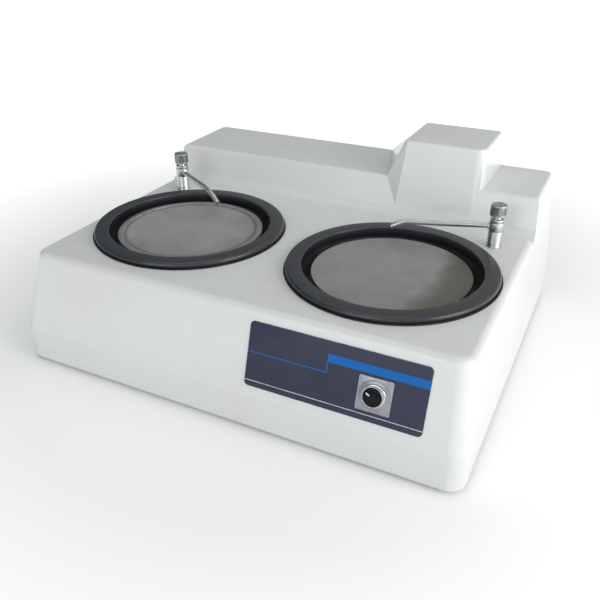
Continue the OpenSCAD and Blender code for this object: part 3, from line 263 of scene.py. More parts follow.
# Grain: two scales of fine unevenness, as a height
coarser = 0.06
grain, given, out = new_group("grain", {"Vector": "Vector", "Scale": "Float", "Coarse": "Float"},
                              {"Height": "Float"})
fine = add_node(grain, "TexNoise", Vector=given["Vector"], Scale=given["Scale"], Detail=3.0,
                Roughness=0.55)
broad = add_node(grain, "TexNoise", Vector=given["Vector"], Detail=2.0,
                 Scale=reckoned(grain, "MULTIPLY", given["Scale"], coarser))
broad_share = reckoned(grain, "MULTIPLY", broad.outputs["Fac"], given["Coarse"])
plug(out["Height"], reckoned(grain, "ADD", fine.outputs["Fac"], broad_share))


def object_place(tree, centre=(0, 0, 0), scale=(1, 1, 1)):
    made = add_node(tree, "Mapping", Vector=add_node(tree, "TexCoord").outputs["Object"])
    made.inputs["Location"].default_value = [-c * s for c, s in zip(centre, scale)]
    made.inputs["Scale"].default_value = scale
    return made.outputs["Vector"]


def stained(tree, place, colour, stain, scale, amount):
    return use_group(tree, stains, Vector=place, Colour=colour, Stain=stain, Scale=scale,
                     Amount=amount)


def dusted(tree, place, colour, film_colour, amount):
    return use_group(tree, dust, Vector=place, Colour=colour, Dust=film_colour, Amount=amount)


def edge_wear_and_highlight(tree, place, colour, bare, amount):
    worn = use_group(tree, edges, Vector=place, Colour=colour, Bare=bare, Amount=amount)
    return worn["Colour"]


def bumped(tree, height, depth, strength):
    made = add_node(tree, "Bump", Height=height)
    made.inputs["Distance"].default_value = depth * mm
    made.inputs["Strength"].default_value = strength
    return made.outputs["Normal"]


def grained(tree, place, scale, coarse, depth, strength):
    height = use_group(tree, grain, Vector=place, Scale=scale, Coarse=coarse)["Height"]
    return bumped(tree, height, depth, strength)


gel_coat, tree, shader = new_material("gel_coat", Coat_Weight=0.35, Coat_Roughness=0.16)
place = object_place(tree)
yellowed = stained(tree, place, (0.69, 0.715, 0.705, 1), (0.665, 0.65, 0.64, 1), 6.0, 0.6)
dulled = dusted(tree, place, yellowed["Colour"], (0.52, 0.5, 0.47, 1), 0.3)
rubbed_corners = edge_wear_and_highlight(tree, place, dulled["Colour"], (0.78, 0.785, 0.78, 1), 0.5)
specks = add_node(tree, "TexVoronoi", Vector=place, Scale=95.0)
speck_mask = ranged(tree, specks.outputs["Distance"], 0.035, 0.05, 0.5, 0.0)
linked(shader, Base_Color=mixed(tree, speck_mask, rubbed_corners, (0.5, 0.48, 0.44, 1)),
       Roughness=ranged(tree, dulled["Mask"], 0.0, 0.3, 0.3, 0.46),
       Normal=grained(tree, place, 420.0, 3.5, 0.06, 0.35))

mould_round, trimmed_round = 4 * mm, 0.8 * mm
shell = merged_copy("casing")
soften(shell, mould_round, least=14, most=28, segments=3)
soften(shell, trimmed_round, least=50)
casing = add_piece("moulded_casing", shell, gel_coat, sharp=46, weighted=True)
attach(casing, "machine")
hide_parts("casing")


# The casing stands on a welded frame of steel angle with two square rails, painted dark grey.
# Eight hexagon screws hold the casing's inner lip to the frame; they and the posts are zinc plated.
def refinish(material, *names):
    for name in names:
        mesh = nodes[name].data
        mesh.materials.clear()
        mesh.materials.append(material)


frame_paint, tree, shader = new_material("frame_paint")
place = object_place(tree)
rusted = stained(tree, place, (0.035, 0.038, 0.043, 1), (0.075, 0.055, 0.04, 1), 24.0, 0.5)
linked(shader, Base_Color=rusted["Colour"],
       Roughness=ranged(tree, rusted["Mask"], 0, 0.5, 0.42, 0.7),
       Normal=grained(tree, place, 900.0, 1.0, 0.1, 0.4))
refinish(frame_paint, "base_frame")

zinc, tree, shader = new_material("zinc_plate", Metallic=1.0)
place = object_place(tree)
spangle = add_node(tree, "TexVoronoi", Vector=place, Scale=160.0).outputs["Distance"]
zinc_tone = mixed(tree, spangle, (0.5, 0.51, 0.52, 1), (0.66, 0.66, 0.64, 1))
clouded = stained(tree, place, zinc_tone, (0.4, 0.39, 0.36, 1), 40.0, 0.6)
linked(shader, Base_Color=clouded["Colour"],
       Roughness=ranged(tree, clouded["Mask"], 0, 0.6, 0.28, 0.5))
refinish(zinc, "casing_screws", "drive_screws", "plate_posts", "drive_plate")

# Four rubber feet, each a ribbed pad moulded round a steel stud. A nut holds the stud in the
# frame, and the stud's thread shows above it.
rubber, tree, shader = new_material("rubber", Roughness=0.8, Specular_IOR_Level=0.3)
place = object_place(tree)
bloomed = stained(tree, place, (0.022, 0.022, 0.023, 1), (0.06, 0.058, 0.055, 1), 45.0, 0.7)
linked(shader, Base_Color=bloomed["Colour"], Normal=grained(tree, place, 1300.0, 0.5, 0.08, 0.5))


def turned(points, centre=Vector((0, 0, 0)), steps=96):
    shape = bmesh.new()
    verts = [shape.verts.new((r * mm, 0, h * mm)) for r, h in points]
    wire = [shape.edges.new((a, b)) for a, b in zip(verts, verts[1:] + verts[:1])]
    bmesh.ops.spin(shape, geom=verts + wire, cent=(0, 0, 0), axis=(0, 0, 1), dvec=(0, 0, 0),
                   angle=math.tau, steps=steps, use_merge=True, use_duplicate=False)
    bmesh.ops.remove_doubles(shape, verts=shape.verts, dist=0.002 * mm)
    bmesh.ops.recalc_face_normals(shape, faces=shape.faces)
    bmesh.ops.transform(shape, matrix=Matrix.Translation(centre), verts=shape.verts)
    return shape


def hexagon(across, low, high, centre):
    shape = bmesh.new()
    corner_r = across / 2 / math.cos(math.pi / 6) * mm
    middle_up = Vector((0, 0, (low + high) / 2 * mm))
    bmesh.ops.create_cone(shape, cap_ends=True, segments=6, radius1=corner_r, radius2=corner_r,
                          depth=(high - low) * mm, matrix=Matrix.Translation(centre + middle_up))
    return shape


def joined(*shapes):
    whole = bmesh.new()
    for shape in shapes:
        part = bpy.data.meshes.new("part")
        shape.to_mesh(part)
        shape.free()
        whole.from_mesh(part)
        bpy.data.meshes.remove(part)
    return whole


pad_outline = ((0, 1), (9.5, 1), (10.5, 0), (18, 0), (19, 1), (18.4, 2.2), (18.7, 2.6),
               (17.9, 3.8), (18.2, 4.2), (17, 6), (0, 6))
nut_low, nut_high, nut_across = 9, 15.4, 12.8
stud_r, thread_depth, thread_pitch, stud_top = 4, 0.35, 0.5, 21
thread = [(stud_r - thread_depth * (i % 2), nut_high + i * thread_pitch) for i in range(10)]
stud_outline = [(0, 6), (stud_r, 6)] + thread + [(3.2, stud_top), (0, stud_top)]
for corner in ("front_left", "front_right", "rear_left", "rear_right"):
    low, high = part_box("foot_" + corner)
    middle = Vector(((low.x + high.x) / 2, (low.y + high.y) / 2, 0))
    pad = add_piece("foot_pad_" + corner, turned(pad_outline, middle, 48), rubber)
    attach(pad, "machine")
    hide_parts("foot_" + corner)
    nut = hexagon(nut_across, nut_low, nut_high, middle)
    soften(nut, 0.6 * mm)
    stud = turned(stud_outline, middle, 24)
    stud = add_piece("foot_stud_" + corner, joined(stud, nut), zinc)
    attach(stud, "machine")

# The nameplate is a sheet of aluminium, painted dark blue-grey and screen printed with a broad blue
# bar that steps down to a thin line, and a white line near its foot. It is glued to the slope.
slope_run, slope_rise, crease_y, deck_z = 35.6, 115.5, -276.4, 173.5
lean = math.atan2(slope_run, slope_rise)
crease = Vector((0, crease_y, deck_z)) * mm
down = Vector((0, -math.sin(lean), -math.cos(lean)))
outward = Vector((0, -math.cos(lean), math.sin(lean)))


def on_slope(shape, x, s, lift=0.0):
    turn = Matrix(((1, 0, 0), -down, outward)).transposed().to_4x4()
    spot = crease + Vector((x * mm, 0, 0)) + down * s * mm + outward * lift * mm
    bmesh.ops.transform(shape, matrix=Matrix.Translation(spot) @ turn, verts=shape.verts)
    return shape


def sheet_metal(width, height, thickness, corner, edge=0.3):
    shape = bmesh.new()
    bmesh.ops.create_grid(shape, x_segments=1, y_segments=1, size=0.5,
                          matrix=Matrix.Diagonal((width * mm, height * mm, 1, 1)))
    bmesh.ops.bevel(shape, geom=shape.verts[:], offset=corner * mm, affect="VERTICES",
                    segments=6, profile=0.5, material=-1)
    for face in shape.faces:
        if face.normal.z < 0:
            face.normal_flip()
    raised = bmesh.ops.extrude_face_region(shape, geom=shape.faces[:])["geom"]
    bmesh.ops.translate(shape, vec=(0, 0, thickness * mm),
                        verts=[v for v in raised if isinstance(v, bmesh.types.BMVert)])
    bmesh.ops.recalc_face_normals(shape, faces=shape.faces)
    if edge:
        soften(shape, edge * mm, least=60, pick=lambda c: c.z > thickness * mm * 0.9)
    return shape


plate_paint, tree, shader = new_material("nameplate_paint", Roughness=0.46,
                                         Specular_IOR_Level=0.3)
place = object_place(tree)
faded = stained(tree, place, (0.026, 0.031, 0.062, 1), (0.036, 0.041, 0.074, 1), 14.0, 0.8)
linked(shader, Base_Color=edge_wear_and_highlight(tree, place, faded["Colour"], (0.45, 0.46, 0.48, 1), 0.9),
       Normal=grained(tree, place, 1500.0, 1.0, 0.02, 0.3))
plate_w, plate_h, plate_t, plate_corner = 245, 89.6, 1.2, 6
plate_x, plate_s = 170.2, 61.3
nameplate = on_slope(sheet_metal(plate_w, plate_h, plate_t, plate_corner), plate_x, plate_s)
nameplate = add_piece("nameplate_sheet", nameplate, plate_paint)
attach(nameplate, "machine")
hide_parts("nameplate")

blue_ink, tree, shader = new_material("blue_ink", Roughness=0.46, Specular_IOR_Level=0.2)
printed = stained(tree, object_place(tree), (0.002, 0.12, 0.42, 1), (0.004, 0.14, 0.46, 1),
                  30.0, 0.8)
linked(shader, Base_Color=printed["Colour"])
white_ink, tree, shader = new_material("white_ink", Roughness=0.4)
thinned = stained(tree, object_place(tree), (0.62, 0.63, 0.66, 1), (0.3, 0.31, 0.36, 1),
                  220.0, 0.8)
linked(shader, Base_Color=thinned["Colour"])
ink_t, ink_corner = 0.12, 0.1
broad_bar, step_down = (160.3, 292.3, 33.2, 44), (160.3, 161.8, 44, 58.8)
thin_line, foot_line = (48.2, 161.8, 57.5, 58.8), (48.2, 292, 97.3, 98.3)
for name, ink, bars in (
    ("nameplate_blue_print", blue_ink, (broad_bar, step_down, thin_line)),
    ("nameplate_white_print", white_ink, (foot_line,)),
):
    bars = [on_slope(sheet_metal(x1 - x0, s1 - s0, ink_t, ink_corner, edge=0),
                     (x0 + x1) / 2, (s0 + s1) / 2, plate_t) for x0, x1, s0, s1 in bars]
    print_piece = add_piece(name, joined(*bars), ink)
    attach(print_piece, "machine")

# The rotary switch: a square plate of satin steel, a round escutcheon, a chromed bezel that is
# screwed to the switch behind the panel, and a gloss black knob with a chromed rim.
satin, tree, shader = new_material("satin_steel", Metallic=0.85)
place = object_place(tree)
brushed = add_node(tree, "TexNoise", Vector=object_place(tree, scale=(60, 1500, 1500)), Scale=1.0,
                   Detail=3.0).outputs["Fac"]
greyed = stained(tree, place, (0.34, 0.345, 0.37, 1), (0.24, 0.245, 0.27, 1), 60.0, 0.8)
linked(shader, Base_Color=edge_wear_and_highlight(tree, place, greyed["Colour"], (0.75, 0.75, 0.77, 1), 0.9),
       Roughness=ranged(tree, brushed, 0.3, 0.7, 0.32, 0.52),
       Normal=bumped(tree, brushed, 0.02, 0.5))
switch_x, switch_s, switch_side = 227.2, 70, 45
escutcheon_top, knob_gap, cap_top = 2.5, 2.8, 5.7
bezel_lift = plate_t + escutcheon_top
knob_lift = bezel_lift + knob_gap
escutcheon = turned([(7, 1.4), (20, 1.4), (20, 1.9), (19.2, escutcheon_top), (7, escutcheon_top)],
                    steps=72)
square = joined(sheet_metal(switch_side, switch_side, 1.5, 2, edge=0.4), escutcheon)
square = on_slope(square, switch_x, switch_s, plate_t)
switch_plate = add_piece("switch_square_plate", square, satin)
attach(switch_plate, "machine")
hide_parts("switch_plate")

chrome, tree, shader = new_material("chrome", Metallic=1.0)
place = object_place(tree)
smudged = stained(tree, place, (0.58, 0.59, 0.61, 1), (0.46, 0.47, 0.48, 1), 50.0, 0.6)
linked(shader, Base_Color=smudged["Colour"],
       Roughness=ranged(tree, smudged["Mask"], 0, 0.6, 0.27, 0.35))
bezel = turned([(7, 0), (15.5, 0), (15.5, 1.4), (15.1, 2.1), (14.4, 2.5), (7, 2.5)], steps=72)
soften(bezel, 0.3 * mm)
bezel = add_piece("switch_chrome_bezel", on_slope(bezel, switch_x, switch_s, bezel_lift), chrome)
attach(bezel, "machine")
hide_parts("switch_bezel")

knob_black, tree, shader = new_material("gloss_black", Specular_IOR_Level=0.12)
place = object_place(tree)
fingered = stained(tree, place, (0.004, 0.004, 0.006, 1), (0.01, 0.01, 0.012, 1), 110.0, 0.7)
linked(shader, Base_Color=fingered["Colour"],
       Roughness=ranged(tree, fingered["Mask"], 0, 0.7, 0.1, 0.22))
cap_r, shoulder_r, shoulder_h, shoulder_z = 12.4, 3.2, 2.3, 3.2
shoulder = [(cap_r - shoulder_r + shoulder_r * math.cos(a), shoulder_z + shoulder_h * math.sin(a))
            for a in (0.3, 0.65, 1.0, 1.3, math.pi / 2)]
cap = turned([(0, 1.2), (cap_r, 1.2), (cap_r, shoulder_z)] + shoulder
             + [(5, 5.66), (0, cap_top)], steps=72)
stem = turned([(0, -8), (3, -8), (3, 1.3), (0, 1.3)], steps=32)
cap = on_slope(joined(cap, stem), switch_x, switch_s, knob_lift)
cap = add_piece("switch_knob_cap", cap, knob_black)
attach(cap, "switch_handle")
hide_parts("switch_knob")
rim = turned([(12.3, 0), (13.2, 0), (13.5, 0.4), (13.5, 3.4), (13.2, 3.9), (12.7, 3.9),
              (12.4, 3.5), (12.3, 3)], steps=72)
back_wall = turned([(0, 0), (cap_r, 0), (cap_r, 1.3), (0, 1.3)], steps=48)
rim = on_slope(joined(rim, back_wall), switch_x, switch_s, knob_lift)
rim = add_piece("switch_knob_rim", rim, chrome)
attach(rim, "switch_handle")

# The white pointer line is turned to the left of the cap, where the cap's highlight falls: it is a
# pointer and also a painted highlight.
pointer_and_highlight_ink, tree, shader = new_material("pointer_and_highlight_ink", Roughness=0.4)
faint = stained(tree, object_place(tree), (0.75, 0.75, 0.73, 1), (0.5, 0.5, 0.48, 1), 300.0, 0.7)
linked(shader, Base_Color=faint["Colour"])
pointer_reach, turn_to_highlight = 6.6 * mm, math.radians(62)
pointer = sheet_metal(1.9, 5.6, 0.15, 0.5, edge=0)
bmesh.ops.translate(pointer, vec=(0, pointer_reach, 0), verts=pointer.verts)
bmesh.ops.rotate(pointer, matrix=Matrix.Rotation(turn_to_highlight, 3, "Z"), verts=pointer.verts)
pointer = on_slope(pointer, switch_x, switch_s, knob_lift + cap_top - 0.1)
pointer = add_piece("switch_pointer_and_highlight", pointer, pointer_and_highlight_ink)
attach(pointer, "switch_handle")

black_plastic, tree, shader = new_material("black_plastic", Roughness=0.5)
place = object_place(tree)
scuffed = stained(tree, place, (0.02, 0.02, 0.021, 1), (0.045, 0.044, 0.042, 1), 50.0, 0.6)
linked(shader, Base_Color=scuffed["Colour"], Normal=grained(tree, place, 1700.0, 0.4, 0.05, 0.5))
refinish(black_plastic, "switch_body", "motor_fan", "motor_terminal_box", "cable_gland")

# Each disc turns in a moulded black bowl that hangs by its flange in the casing's well; a splash
# ring of charcoal plastic lies over the flange, and lifts off. A thin black rubber ring under its
# outer edge is painted shadow: it darkens the gap between splash ring and casing. Grey polishing
# sludge dries in the bowls.
bowl_plastic, tree, shader = new_material("bowl_plastic")
place = object_place(tree)
sludge = stained(tree, place, (0.11, 0.1, 0.09, 1), (0.22, 0.2, 0.175, 1), 26.0, 0.6)
residue = dusted(tree, place, sludge["Colour"], (0.2, 0.185, 0.16, 1), 0.6)
linked(shader, Base_Color=residue["Colour"],
       Roughness=ranged(tree, residue["Mask"], 0, 0.5, 0.34, 0.65))

ring_plastic, tree, shader = new_material("ring_plastic", Coat_Weight=0.3, Coat_Roughness=0.22)
place = object_place(tree)
dried = stained(tree, place, (0.01, 0.011, 0.017, 1), (0.018, 0.019, 0.025, 1), 20.0, 0.9)
splashed = dusted(tree, place, dried["Colour"], (0.045, 0.045, 0.05, 1), 0.2)
linked(shader,
       Base_Color=edge_wear_and_highlight(tree, place, splashed["Colour"], (0.055, 0.058, 0.068, 1), 0.35),
       Roughness=ranged(tree, splashed["Mask"], 0, 0.2, 0.34, 0.5),
       Normal=grained(tree, place, 1400.0, 1.2, 0.04, 0.4))


def from_axis(point, centre):
    return math.hypot(point.x - centre.x, point.y - centre.y)


disc_x, disc_y = 171.75, -94.3
ring_hole, collar_r, collar_foot, flange_r, flange_t = 129, 132, -6, 148.5, 3
ring_r, ring_top, undercut_r, undercut_top, ring_underside_gap = 152.5, 9.5, 150, 2.8, 0.5
ring_outline = [(ring_hole, collar_foot), (collar_r, collar_foot), (collar_r, flange_t),
                (flange_r, flange_t), (flange_r, ring_underside_gap), (undercut_r, ring_underside_gap),
                (undercut_r, undercut_top), (ring_r, undercut_top), (ring_r, ring_top),
                (ring_hole, ring_top)]
gap_shadow_outline = [(148.2, 0.03), (154.8, 0.03), (155, 0.4), (154.4, 1.1), (152.9, 1.1),
                (152.7, 0.42), (148.2, 0.42)]
for body, sx in (("left", -1), ("right", 1)):
    middle = Vector((sx * disc_x, disc_y, deck_z)) * mm
    near_top = middle.z + (ring_top - 1.5) * mm
    bowl = add_piece(body + "_moulded_bowl", merged_copy(body + "_bowl"), bowl_plastic, sharp=35)
    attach(bowl, "machine")
    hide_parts(body + "_bowl")
    ring = turned(ring_outline, middle, 160)
    soften(ring, 4 * mm, segments=6,
           pick=lambda c: from_axis(c, middle) > (ring_r - 1.5) * mm and c.z > near_top)
    soften(ring, 1.6 * mm, segments=4, least=60,
           pick=lambda c: from_axis(c, middle) < (ring_hole + 1) * mm and c.z > near_top)
    soften(ring, 0.5 * mm, least=60)
    # A black rubber ring that sticks out under the splash ring's edge: painted shadow of the gap
    # between ring and casing.
    gap_shadow = add_piece(body + "_gap_shadow_ring", turned(gap_shadow_outline, middle, 128), rubber, sharp=50)
    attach(gap_shadow, "machine")
    ring = add_piece(body + "_ring", ring, ring_plastic, sharp=50)
    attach(ring, body + "_ring")
    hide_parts(body + "_splash_ring")


# The discs are cast aluminium, faced on a lathe, ribbed underneath and dropped on two pins of the
# spindle. The left one holds a cloth under a steel clamp ring, the right one an abrasive sheet.
def round_disc(tree, sx, scale=(1, 1, 1)):
    return object_place(tree, (sx * disc_x * mm, disc_y * mm, 0), scale)


def lathe_rings(tree, sx, scale, distortion, detail):
    return add_node(tree, "TexWave", {"wave_type": "RINGS", "rings_direction": "Z"},
                    Vector=round_disc(tree, sx), Scale=scale, Distortion=distortion,
                    Detail=detail).outputs["Fac"]


faced, tree, shader = new_material("faced_aluminium", Metallic=1.0)
place = object_place(tree)
corroded = stained(tree, place, (0.58, 0.585, 0.59, 1), (0.4, 0.4, 0.39, 1), 30.0, 0.8)
linked(shader, Base_Color=corroded["Colour"],
       Roughness=ranged(tree, corroded["Mask"], 0, 0.8, 0.3, 0.5),
       Normal=bumped(tree, lathe_rings(tree, 1, 420.0, 0.3, 1.0), 0.03, 0.4))
refinish(faced, "left_disc", "right_disc")

clamp_steel, tree, shader = new_material("clamp_steel", Metallic=0.5)
place = object_place(tree)
splotched = stained(tree, place, (0.31, 0.305, 0.3, 1), (0.21, 0.205, 0.2, 1), 38.0, 0.8)
# The clamp's bevelled edges take a light grey: partly worn steel, partly a painted highlight along
# the lip.
linked(shader, Base_Color=edge_wear_and_highlight(tree, place, splotched["Colour"], (0.7, 0.7, 0.7, 1), 0.8),
       Roughness=ranged(tree, splotched["Mask"], 0, 0.8, 0.34, 0.55),
       Normal=bumped(tree, lathe_rings(tree, -1, 500.0, 0.5, 2.0), 0.02, 0.35))
disc_top, disc_r = 170, 115
clamp_in, clamp_r, clamp_foot, clamp_seat, clamp_top = 107.5, 116.5, -8, 0.8, 2.4
left_top = Vector((-disc_x, disc_y, disc_top)) * mm
clamp = turned([(disc_r, clamp_foot), (clamp_r, clamp_foot), (clamp_r, clamp_top),
                (clamp_in, clamp_top), (clamp_in, clamp_seat), (disc_r, clamp_seat)], left_top, 160)
soften(clamp, 0.7 * mm, segments=3, least=60, pick=lambda c: c.z > left_top.z + 1.5 * mm)
clamp = add_piece("left_clamp_band", clamp, clamp_steel)
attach(clamp, "left_rotor")
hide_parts("left_clamp_ring")

cloth_felt, tree, shader = new_material("cloth_felt", Roughness=0.95, Sheen_Weight=0.25,
                                        Sheen_Roughness=0.5, Specular_IOR_Level=0.2)
place = object_place(tree)
warp, weft = [add_node(tree, "TexWave", {"bands_direction": way}, Vector=place, Scale=520.0,
                       Distortion=1.2, Detail=1.0).outputs["Fac"] for way in "XY"]
nap = add_node(tree, "TexNoise", Vector=place, Scale=900.0, Detail=5.0,
               Roughness=0.7).outputs["Fac"]
threads = mixed(tree, nap, (0.18, 0.181, 0.185, 1), (0.34, 0.34, 0.34, 1))
used = stained(tree, place, threads, (0.17, 0.163, 0.155, 1), 9.0, 0.8)
# A dark ring on the cloth just inside the clamp's inner edge is painted shadow of the clamp's
# raised step.
clamp_edge_shadow = ranged(tree, length_of(tree, round_disc(tree, -1, (1, 1, 0))), 0.1, 0.1063, 0, 0.9)
pile = reckoned(tree, "ADD", reckoned(tree, "MULTIPLY", warp, weft), nap)
linked(shader, Base_Color=mixed(tree, clamp_edge_shadow, used["Colour"], (0.08, 0.078, 0.075, 1)),
       Normal=bumped(tree, pile, 0.15, 0.6))
cloth_r, cloth_top, pucker_from, pucker_to, pucker_depth = 114.9, 1.2, 84, 106, 0.12
cloth_steps = [105.2, 101, 94, 84, 72, 60, 48, 36, 24, 12, 0]
cloth = turned([(0, 0.02), (cloth_r, 0.02), (cloth_r, 0.72), (107.3, 0.74), (106.6, 1.0)]
               + [(r, cloth_top) for r in cloth_steps], left_top, 128)
for vert in cloth.verts:
    reach = from_axis(vert.co, left_top) / mm
    turn = math.atan2(vert.co.y - left_top.y, vert.co.x - left_top.x)
    if vert.co.z > left_top.z + (cloth_top - 0.1) * mm and reach < pucker_to:
        pull = max(0, reach - pucker_from) / (pucker_to - pucker_from)
        pucker = math.sin(turn * 21 + math.sin(turn * 4) * 2) * pull
        swell = 0.05 * math.sin(reach * 0.11 + turn * 3)
        vert.co.z += (pucker * pucker_depth - pucker_depth + swell) * mm
cloth = add_piece("left_cloth", cloth, cloth_felt, sharp=60)
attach(cloth, "left_rotor")
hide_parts("left_polishing_cloth")

grit, tree, shader = new_material("abrasive_grit", Specular_IOR_Level=0.45)
place = object_place(tree)
grains = add_node(tree, "TexVoronoi", Vector=place, Scale=2600.0).outputs["Distance"]
grit_tone = mixed(tree, grains, (0.33, 0.325, 0.33, 1), (0.2, 0.197, 0.2, 1))
clogged = stained(tree, place, grit_tone, (0.17, 0.165, 0.16, 1), 15.0, 0.5)
# The right part of the sheet is painted darker and smoother with a noisy edge: a painted shade
# across it.
across = add_node(tree, "SeparateXYZ", Vector=round_disc(tree, 1)).outputs["X"]
shade_edge_noise = add_node(tree, "TexNoise", Vector=place, Scale=16.0, Detail=3.0).outputs["Fac"]
shade_reach = reckoned(tree, "MULTIPLY_ADD", shade_edge_noise, 0.04, across)
right_shade_mask = ranged(tree, shade_reach, 0.076, 0.098)
right_shade_tone = mixed(tree, right_shade_mask, clogged["Colour"], (0.108, 0.1, 0.086, 1))
scratches = ranged(tree, lathe_rings(tree, 1, 60.0, 1.5, 4.0), 0.75, 1, 0, 0.05)
linked(shader, Base_Color=mixed(tree, scratches, right_shade_tone, (0.33, 0.33, 0.33, 1)),
       Roughness=ranged(tree, right_shade_mask, 0, 1, 0.78, 0.5),
       Normal=bumped(tree, grains, 0.1, 0.6))
right_top = Vector((disc_x, disc_y, disc_top)) * mm
sheet = turned([(0, 0.02), (disc_r - 0.2, 0.02), (disc_r, 0.3), (disc_r - 0.2, 0.6), (108, 0.6),
                (60, 0.58), (0, 0.58)], right_top, 160)
sheet = add_piece("right_abrasive", sheet, grit, sharp=50)
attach(sheet, "right_rotor")
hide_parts("right_abrasive_sheet")

# The taps: a chromed brass post with a lock nut under the deck, a sleeve that swivels on it with a
# bent chromed tube, and a knurled knob on the valve's stem. The tube is drawn a little thicker
# than the solid it dresses.
knurled, tree, shader = new_material("knurled_metal", Metallic=1.0)
place = object_place(tree)
tarnished = stained(tree, place, (0.44, 0.48, 0.49, 1), (0.3, 0.32, 0.32, 1), 120.0, 0.8)
in_groove = add_node(tree, "Attribute", {"attribute_name": "groove"}).outputs["Fac"]
linked(shader, Base_Color=mixed(tree, in_groove, tarnished["Colour"], (0.17, 0.17, 0.165, 1)),
       Roughness=ranged(tree, tarnished["Mask"], 0, 0.8, 0.3, 0.48))
sleeve_r, tube_growth = 13, 0.7
knob_r, knob_h, knurl_columns, knurl_rows = 12, 18, 96, 9
knurl_foot, knurl_pitch, knurl_depth = 3, 1.4, 0.4
knurl_head = knurl_foot + (knurl_rows - 1) * knurl_pitch
knurls = [(knob_r, knurl_foot + i * knurl_pitch) for i in range(knurl_rows)]
knob_outline = [(0, 0), (11, 0), (knob_r, 1), (knob_r, 2.2)] + knurls + [
    (knob_r, 15.2), (knob_r, 16.6), (11.5, 17.6), (10.6, knob_h), (4, knob_h), (3.4, 17.7),
    (0, 17.7)]
for body in ("left", "right"):
    low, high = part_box(body + "_tap_knob")
    centre = Vector(((low.x + high.x) / 2, (low.y + high.y) / 2, high.z - knob_h * mm))
    post = merged_copy(body + "_tap_post")
    soften(post, 0.35 * mm, least=40)
    post = add_piece(body + "_post", post, chrome, sharp=35)
    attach(post, "machine")
    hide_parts(body + "_tap_post")
    spout = merged_copy(body + "_tap_spout")
    spout.normal_update()
    tube = [v for v in spout.verts if from_axis(v.co, centre) > sleeve_r * mm]
    for vert, outwards in [(v, v.normal.copy()) for v in tube]:
        vert.co += outwards * tube_growth * mm
    soften(spout, 0.3 * mm, least=50)
    spout = add_piece(body + "_spout_tube", spout, chrome, sharp=35)
    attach(spout, body + "_spout")
    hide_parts(body + "_tap_spout")
    knob = turned(knob_outline, centre, knurl_columns)
    groove = knob.verts.layers.float.new("groove")
    for vert in knob.verts:
        height = (vert.co.z - centre.z) / mm
        arm = Vector((vert.co.x - centre.x, vert.co.y - centre.y, 0))
        column = round(math.atan2(arm.y, arm.x) / math.tau * knurl_columns)
        row = round((height - knurl_foot) / knurl_pitch)
        in_rows = knurl_foot - 0.1 < height < knurl_head + 0.1
        if arm.length > (knob_r - 0.1) * mm and in_rows and (column + row) % 2:
            vert.co -= arm.normalized() * knurl_depth * mm
            vert[groove] = 1.0
    stem = turned([(0, -17), (3.5, -17), (3.5, 0.5), (0, 0.5)], centre, 32)
    knob = add_piece(body + "_knurled_knob", joined(knob, stem), knurled, sharp=25)
    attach(knob, body + "_valve")
    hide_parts(body + "_tap_knob")

# Behind and below: drain pipes of grey plastic, a brass water inlet with clear hoses to the taps,
# and the drive with its motor, belts, cast-iron pulleys and ball-bearing spindles.
pipe_grey, tree, shader = new_material("grey_pvc", Roughness=0.45)
place = object_place(tree)
limed = stained(tree, place, (0.27, 0.275, 0.28, 1), (0.4, 0.39, 0.37, 1), 35.0, 0.6)
linked(shader,
       Base_Color=dusted(tree, place, limed["Colour"], (0.45, 0.43, 0.4, 1), 0.5)["Colour"],
       Normal=grained(tree, place, 800.0, 1.0, 0.04, 0.4))
for body in ("left", "right"):
    pipe = merged_copy(body + "_drain_pipe")
    soften(pipe, 0.5 * mm, least=60)
    pipe = add_piece(body + "_drain", pipe, pipe_grey, sharp=35)
    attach(pipe, "machine")
    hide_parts(body + "_drain_pipe")

brass, tree, shader = new_material("brass", Metallic=1.0)
place = object_place(tree)
oxidised = stained(tree, place, (0.62, 0.47, 0.2, 1), (0.33, 0.24, 0.12, 1), 60.0, 0.8)
linked(shader, Base_Color=oxidised["Colour"],
       Roughness=ranged(tree, oxidised["Mask"], 0, 0.8, 0.26, 0.5))
inlet = merged_copy("water_inlet")
soften(inlet, 0.4 * mm, least=50)
inlet = add_piece("brass_inlet", inlet, brass, sharp=35)
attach(inlet, "machine")
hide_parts("water_inlet")
refinish(brass, "tap_lock_nuts")

hose_vinyl, tree, shader = new_material("hose_vinyl", Roughness=0.2, Coat_Weight=0.4)
cloudy = stained(tree, object_place(tree), (0.62, 0.64, 0.62, 1), (0.5, 0.49, 0.42, 1),
                 28.0, 0.7)
linked(shader, Base_Color=cloudy["Colour"])
refinish(hose_vinyl, "left_water_hose", "right_water_hose")
refinish(rubber, "left_slinger", "right_slinger")

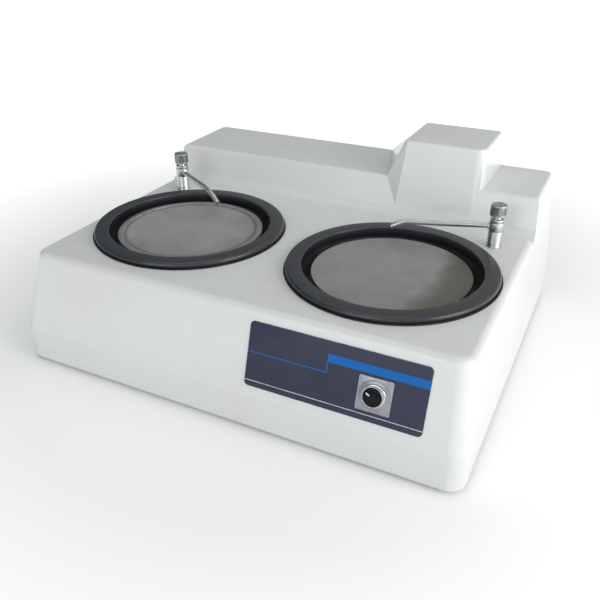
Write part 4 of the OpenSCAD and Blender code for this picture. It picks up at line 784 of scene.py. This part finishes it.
belt_rubber, tree, shader = new_material("belt_rubber", Roughness=0.7)
place = object_place(tree)
plies = add_node(tree, "TexWave", {"bands_direction": "Z"}, Vector=place, Scale=900.0,
                 Distortion=0.4).outputs["Fac"]
chalky = stained(tree, place, (0.02, 0.02, 0.02, 1), (0.08, 0.075, 0.07, 1), 60.0, 0.6)
linked(shader, Base_Color=chalky["Colour"], Normal=bumped(tree, plies, 0.1, 0.5))
refinish(belt_rubber, "left_belt", "right_belt")

cast_iron, tree, shader = new_material("cast_iron", Metallic=0.6)
place = object_place(tree)
oily = stained(tree, place, (0.2, 0.2, 0.205, 1), (0.11, 0.09, 0.075, 1), 40.0, 0.8)
linked(shader, Base_Color=oily["Colour"], Roughness=ranged(tree, oily["Mask"], 0, 0.8, 0.6, 0.35),
       Normal=grained(tree, place, 700.0, 0.5, 0.25, 0.5))
refinish(cast_iron, "left_bearing_housing", "right_bearing_housing", "left_spindle_pulley",
         "right_spindle_pulley", "motor_pulley")

bright_steel, tree, shader = new_material("bright_steel", Metallic=1.0)
place = object_place(tree)
oiled = stained(tree, place, (0.63, 0.635, 0.65, 1), (0.5, 0.46, 0.38, 1), 80.0, 0.6)
linked(shader, Base_Color=oiled["Colour"],
       Roughness=ranged(tree, oiled["Mask"], 0, 0.6, 0.16, 0.34))
refinish(bright_steel, "left_spindle_shaft", "right_spindle_shaft", "motor_shaft",
         "left_bearing_balls", "right_bearing_balls", "left_bearing_inner_rings",
         "right_bearing_inner_rings", "left_bearing_outer_rings", "right_bearing_outer_rings")

motor_paint, tree, shader = new_material("motor_paint", Roughness=0.42, Coat_Weight=0.2)
place = object_place(tree)
sooty = stained(tree, place, (0.09, 0.14, 0.17, 1), (0.05, 0.06, 0.065, 1), 32.0, 0.6)
linked(shader, Base_Color=dusted(tree, place, sooty["Colour"], (0.3, 0.28, 0.25, 1), 0.6)["Colour"],
       Normal=grained(tree, place, 600.0, 0.8, 0.15, 0.4))
refinish(motor_paint, "motor_body", "motor_flange", "motor_cowl")
